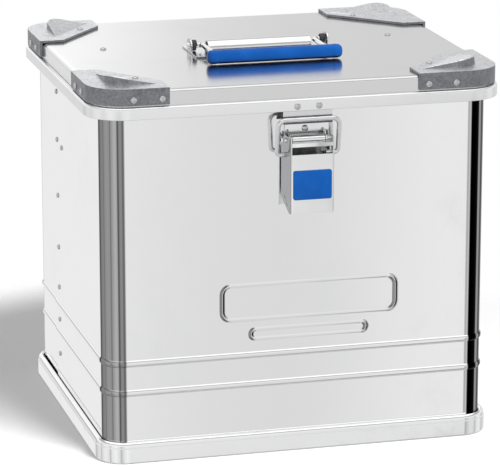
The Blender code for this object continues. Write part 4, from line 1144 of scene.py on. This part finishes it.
def make_lid_leaf(side, x, low, high, axis_y, axis_z, knuckle, leaf, half, inner):
    back = low.y
    gap_half = inner + 0.0004
    axis = along((1, 0, 0), (0, axis_y, axis_z))
    plate = box((-half, back, axis_z + 0.0007), (half, back + leaf, high.z))
    notch = box((-gap_half, back - 0.001, axis_z - 0.001), (gap_half, back + 0.01, axis_z + 0.0048))
    arm = [
        (back + 0.0004, axis_z + 0.0012), (axis_y, axis_z + 0.001), (axis_y, axis_z + knuckle * 0.9),
        (back + leaf, axis_z + 0.0085), (back + 0.0004, axis_z + 0.0085),
    ]
    joins = [(notch, "DIFFERENCE")]
    for way in (-1, 1):
        ends = sorted((way * (gap_half + 0.0003), way * (half + 0.0005)))
        joins.append((turned([(knuckle, ends[1]), (knuckle, ends[0])], axis, 32), "UNION"))
        joins.append((extruded(arm, ends[0] + 0.0004, ends[1] - 0.0004, across_x), "UNION"))
    joins.append((turned([(0.0023, 0.03), (0.0023, -0.03)], axis, 24), "DIFFERENCE"))
    piece(
        f"hinge_upper_{side}", shaped(plate, joins), "lid", "plated steel", [f"hinge_lid_leaf_{side}"],
        bevel=0.0003, shift=x
    )


def finish_kept_nodes():
    for node, name in (
        ("bottom_panel", "body sheet"), ("lid_gasket", "rubber"),
        ("strap_tab_left", "plated steel"), ("strap_tab_right", "plated steel"),
    ):
        for material_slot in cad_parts[node].material_slots:
            material_slot.material = finish(name)


# Stage, light and camera


FLOOR_RADIUS = 0.60
FLOOR_FADE = (0.42, 0.56)
FLOOR_DROP = 0.0002
FLOOR_COLOUR = (0.93, 0.93, 0.93, 1)


def make_floor():
    bm = bmesh.new()
    bmesh.ops.create_circle(bm, cap_ends=True, radius=FLOOR_RADIUS, segments=128)
    mesh = bpy.data.meshes.new("floor")
    bm.to_mesh(mesh)
    bm.free()
    floor = bpy.data.objects.new("floor", mesh)
    floor.location.z = -FLOOR_DROP
    bpy.context.scene.collection.objects.link(floor)
    material = bpy.data.materials.new("pale floor")
    g = Graph(material)
    x, y, _ = g.axes(g.add("ShaderNodeTexCoord", output="Object"))
    away = (x * x + y * y) ** 0.5
    matt = g.add("ShaderNodeBsdfDiffuse", None, {"Color": FLOOR_COLOUR})
    clear = g.add("ShaderNodeBsdfTransparent")
    faded = g.add("ShaderNodeMixShader", None, {0: away.step(*FLOOR_FADE), 1: matt, 2: clear})
    g.add("ShaderNodeOutputMaterial", None, {"Surface": faded})
    mesh.materials.append(material)
    floor.visible_glossy = False


SIDE_BANDS = (
    (-180, 0.86), (-166, 0.9), (-160, 0.50), (-155, 0.50), (-150, 0.55), (-135, 0.75), (-116, 0.80),
    (-115, 0.50),
    (-110, 0.50), (-109, 0.75), (-90, 0.9), (-71, 0.8), (-70, 0.50), (-65, 0.50), (-64, 0.8), (-45, 0.95),
    (-26, 0.75),
    (-25, 0.50), (-20, 0.50), (-19, 0.7), (0, 0.95), (11, 0.88), (13, 0.84), (15, 0.75), (16.5, 0.78),
    (18.5, 0.93), (20.2, 0.92), (21.2, 0.42),
    (25.5, 0.42),
    (27, 0.55), (45, 0.78),
)
REAR_BANDS = (
    (45, 0.78), (64, 0.72), (65, 0.50), (70, 0.50), (71, 0.7), (90, 0.9), (109, 0.7), (110, 0.50),
    (115, 0.50),
    (116, 0.65), (135, 0.80), (150, 0.55), (155, 0.50), (160, 0.50), (163, 0.9), (180, 0.86),
)
SKY_BANDS = (
    (-180, 1.0), (-150, 1.0), (-100, 0.8), (-60, 1.0), (0, 0.9), (60, 0.8), (120, 0.9), (150, 0.74),
    (160, 0.74),
    (165.5, 0.78), (169, 1.2), (174, 1.25), (180, 1.1),
)


REAR_START = 45
DEEP_SHADE = 0.18
SHOULDER_LEVEL = 0.42
ZENITH_LEVEL = 1.25
DIFFUSE_LEVEL = 0.45


def make_world():
    """A soft white studio with grey flags low down all round, which only reflections see."""
    world = bpy.data.worlds.new("studio")
    bpy.context.scene.world = world
    g = Graph(world)
    x, y, z = g.axes(g.add("ShaderNodeTexCoord", output="Generated"))
    turn = x.math("ARCTAN2", y * -1.0) / math.tau + 0.5

    def bands(levels):
        return g.ramp(turn, [(degrees / 360 + 0.5, value) for degrees, value in levels])

    rear = turn.math("GREATER_THAN", REAR_START / 360 + 0.5)
    low = bands(SIDE_BANDS) * (1 - rear) + bands(REAR_BANDS) * rear
    up, deep = z.step(-0.02, 0.10), z.step(-0.37, -0.60)
    shoulder, zenith = z.step(0.36, 0.52), z.step(0.66, 0.80)
    dome = bands(SKY_BANDS) * (1 - shoulder) + (
        SHOULDER_LEVEL * (1 - zenith) + ZENITH_LEVEL * zenith
    ) * shoulder
    light = low * (1 - up) * (1 - deep * DEEP_SHADE) + dome * up
    seen = g.add("ShaderNodeLightPath", output="Is Camera Ray")
    soft = g.add("ShaderNodeLightPath", output="Is Diffuse Ray")
    level = seen + (1 - seen) * (light * (1 - soft) + soft * DIFFUSE_LEVEL)
    shade = g.add("ShaderNodeBackground", None, {"Color": (1, 1, 1, 1), "Strength": level})
    g.add("ShaderNodeOutputWorld", None, {"Surface": shade})


LAMP_SIZE = 1.0
LAMP_POWER = 75
LAMP_PLACE = (0.6, -1.9, 1.75)
LAMP_AIM = (0, 0, 0.1)


def make_light():
    lamp = bpy.data.lights.new("softbox", "AREA")
    lamp.shape = "DISK"
    lamp.size = LAMP_SIZE
    lamp.energy = LAMP_POWER
    obj = bpy.data.objects.new("softbox", lamp)
    obj.visible_glossy = False
    obj.location = LAMP_PLACE
    obj.rotation_euler = (Vector(LAMP_AIM) - obj.location).to_track_quat("-Z", "Y").to_euler()
    bpy.context.scene.collection.objects.link(obj)


CAMERA_AZIMUTH = -15
CAMERA_ELEVATION = 14.5
CAMERA_DISTANCE = 3.34
CAMERA_LENS = 225.4
CAMERA_SENSOR = 36
AIM_LEFT = 0.0052
AIM_DOWN = 0.0075


def make_camera():
    azimuth, elevation = math.radians(CAMERA_AZIMUTH), math.radians(CAMERA_ELEVATION)
    back = Vector((
        math.sin(azimuth) * math.cos(elevation),
        -math.cos(azimuth) * math.cos(elevation),
        math.sin(elevation),
    ))
    right = Vector((math.cos(azimuth), math.sin(azimuth), 0))
    upward = back.cross(right)
    centre = Vector((0, 0, LID_TOP / 2))
    target = centre - right * AIM_LEFT - upward * AIM_DOWN
    lens = bpy.data.cameras.new("camera")
    lens.lens = CAMERA_LENS
    lens.sensor_width = CAMERA_SENSOR
    camera = bpy.data.objects.new("camera", lens)
    camera.location = centre + back * CAMERA_DISTANCE
    camera.rotation_euler = (target - camera.location).to_track_quat("-Z", "Y").to_euler()
    bpy.context.scene.collection.objects.link(camera)
    bpy.context.scene.camera = camera
    bpy.context.scene.view_settings.view_transform = "Standard"


make_body()
make_seam_rivets()
make_base()
make_rim()
make_pan()
make_skirt()
make_castings()
make_rivets()
make_handle()
make_latch()
make_hinges()
finish_kept_nodes()
make_floor()
make_world()
make_light()
make_camera()
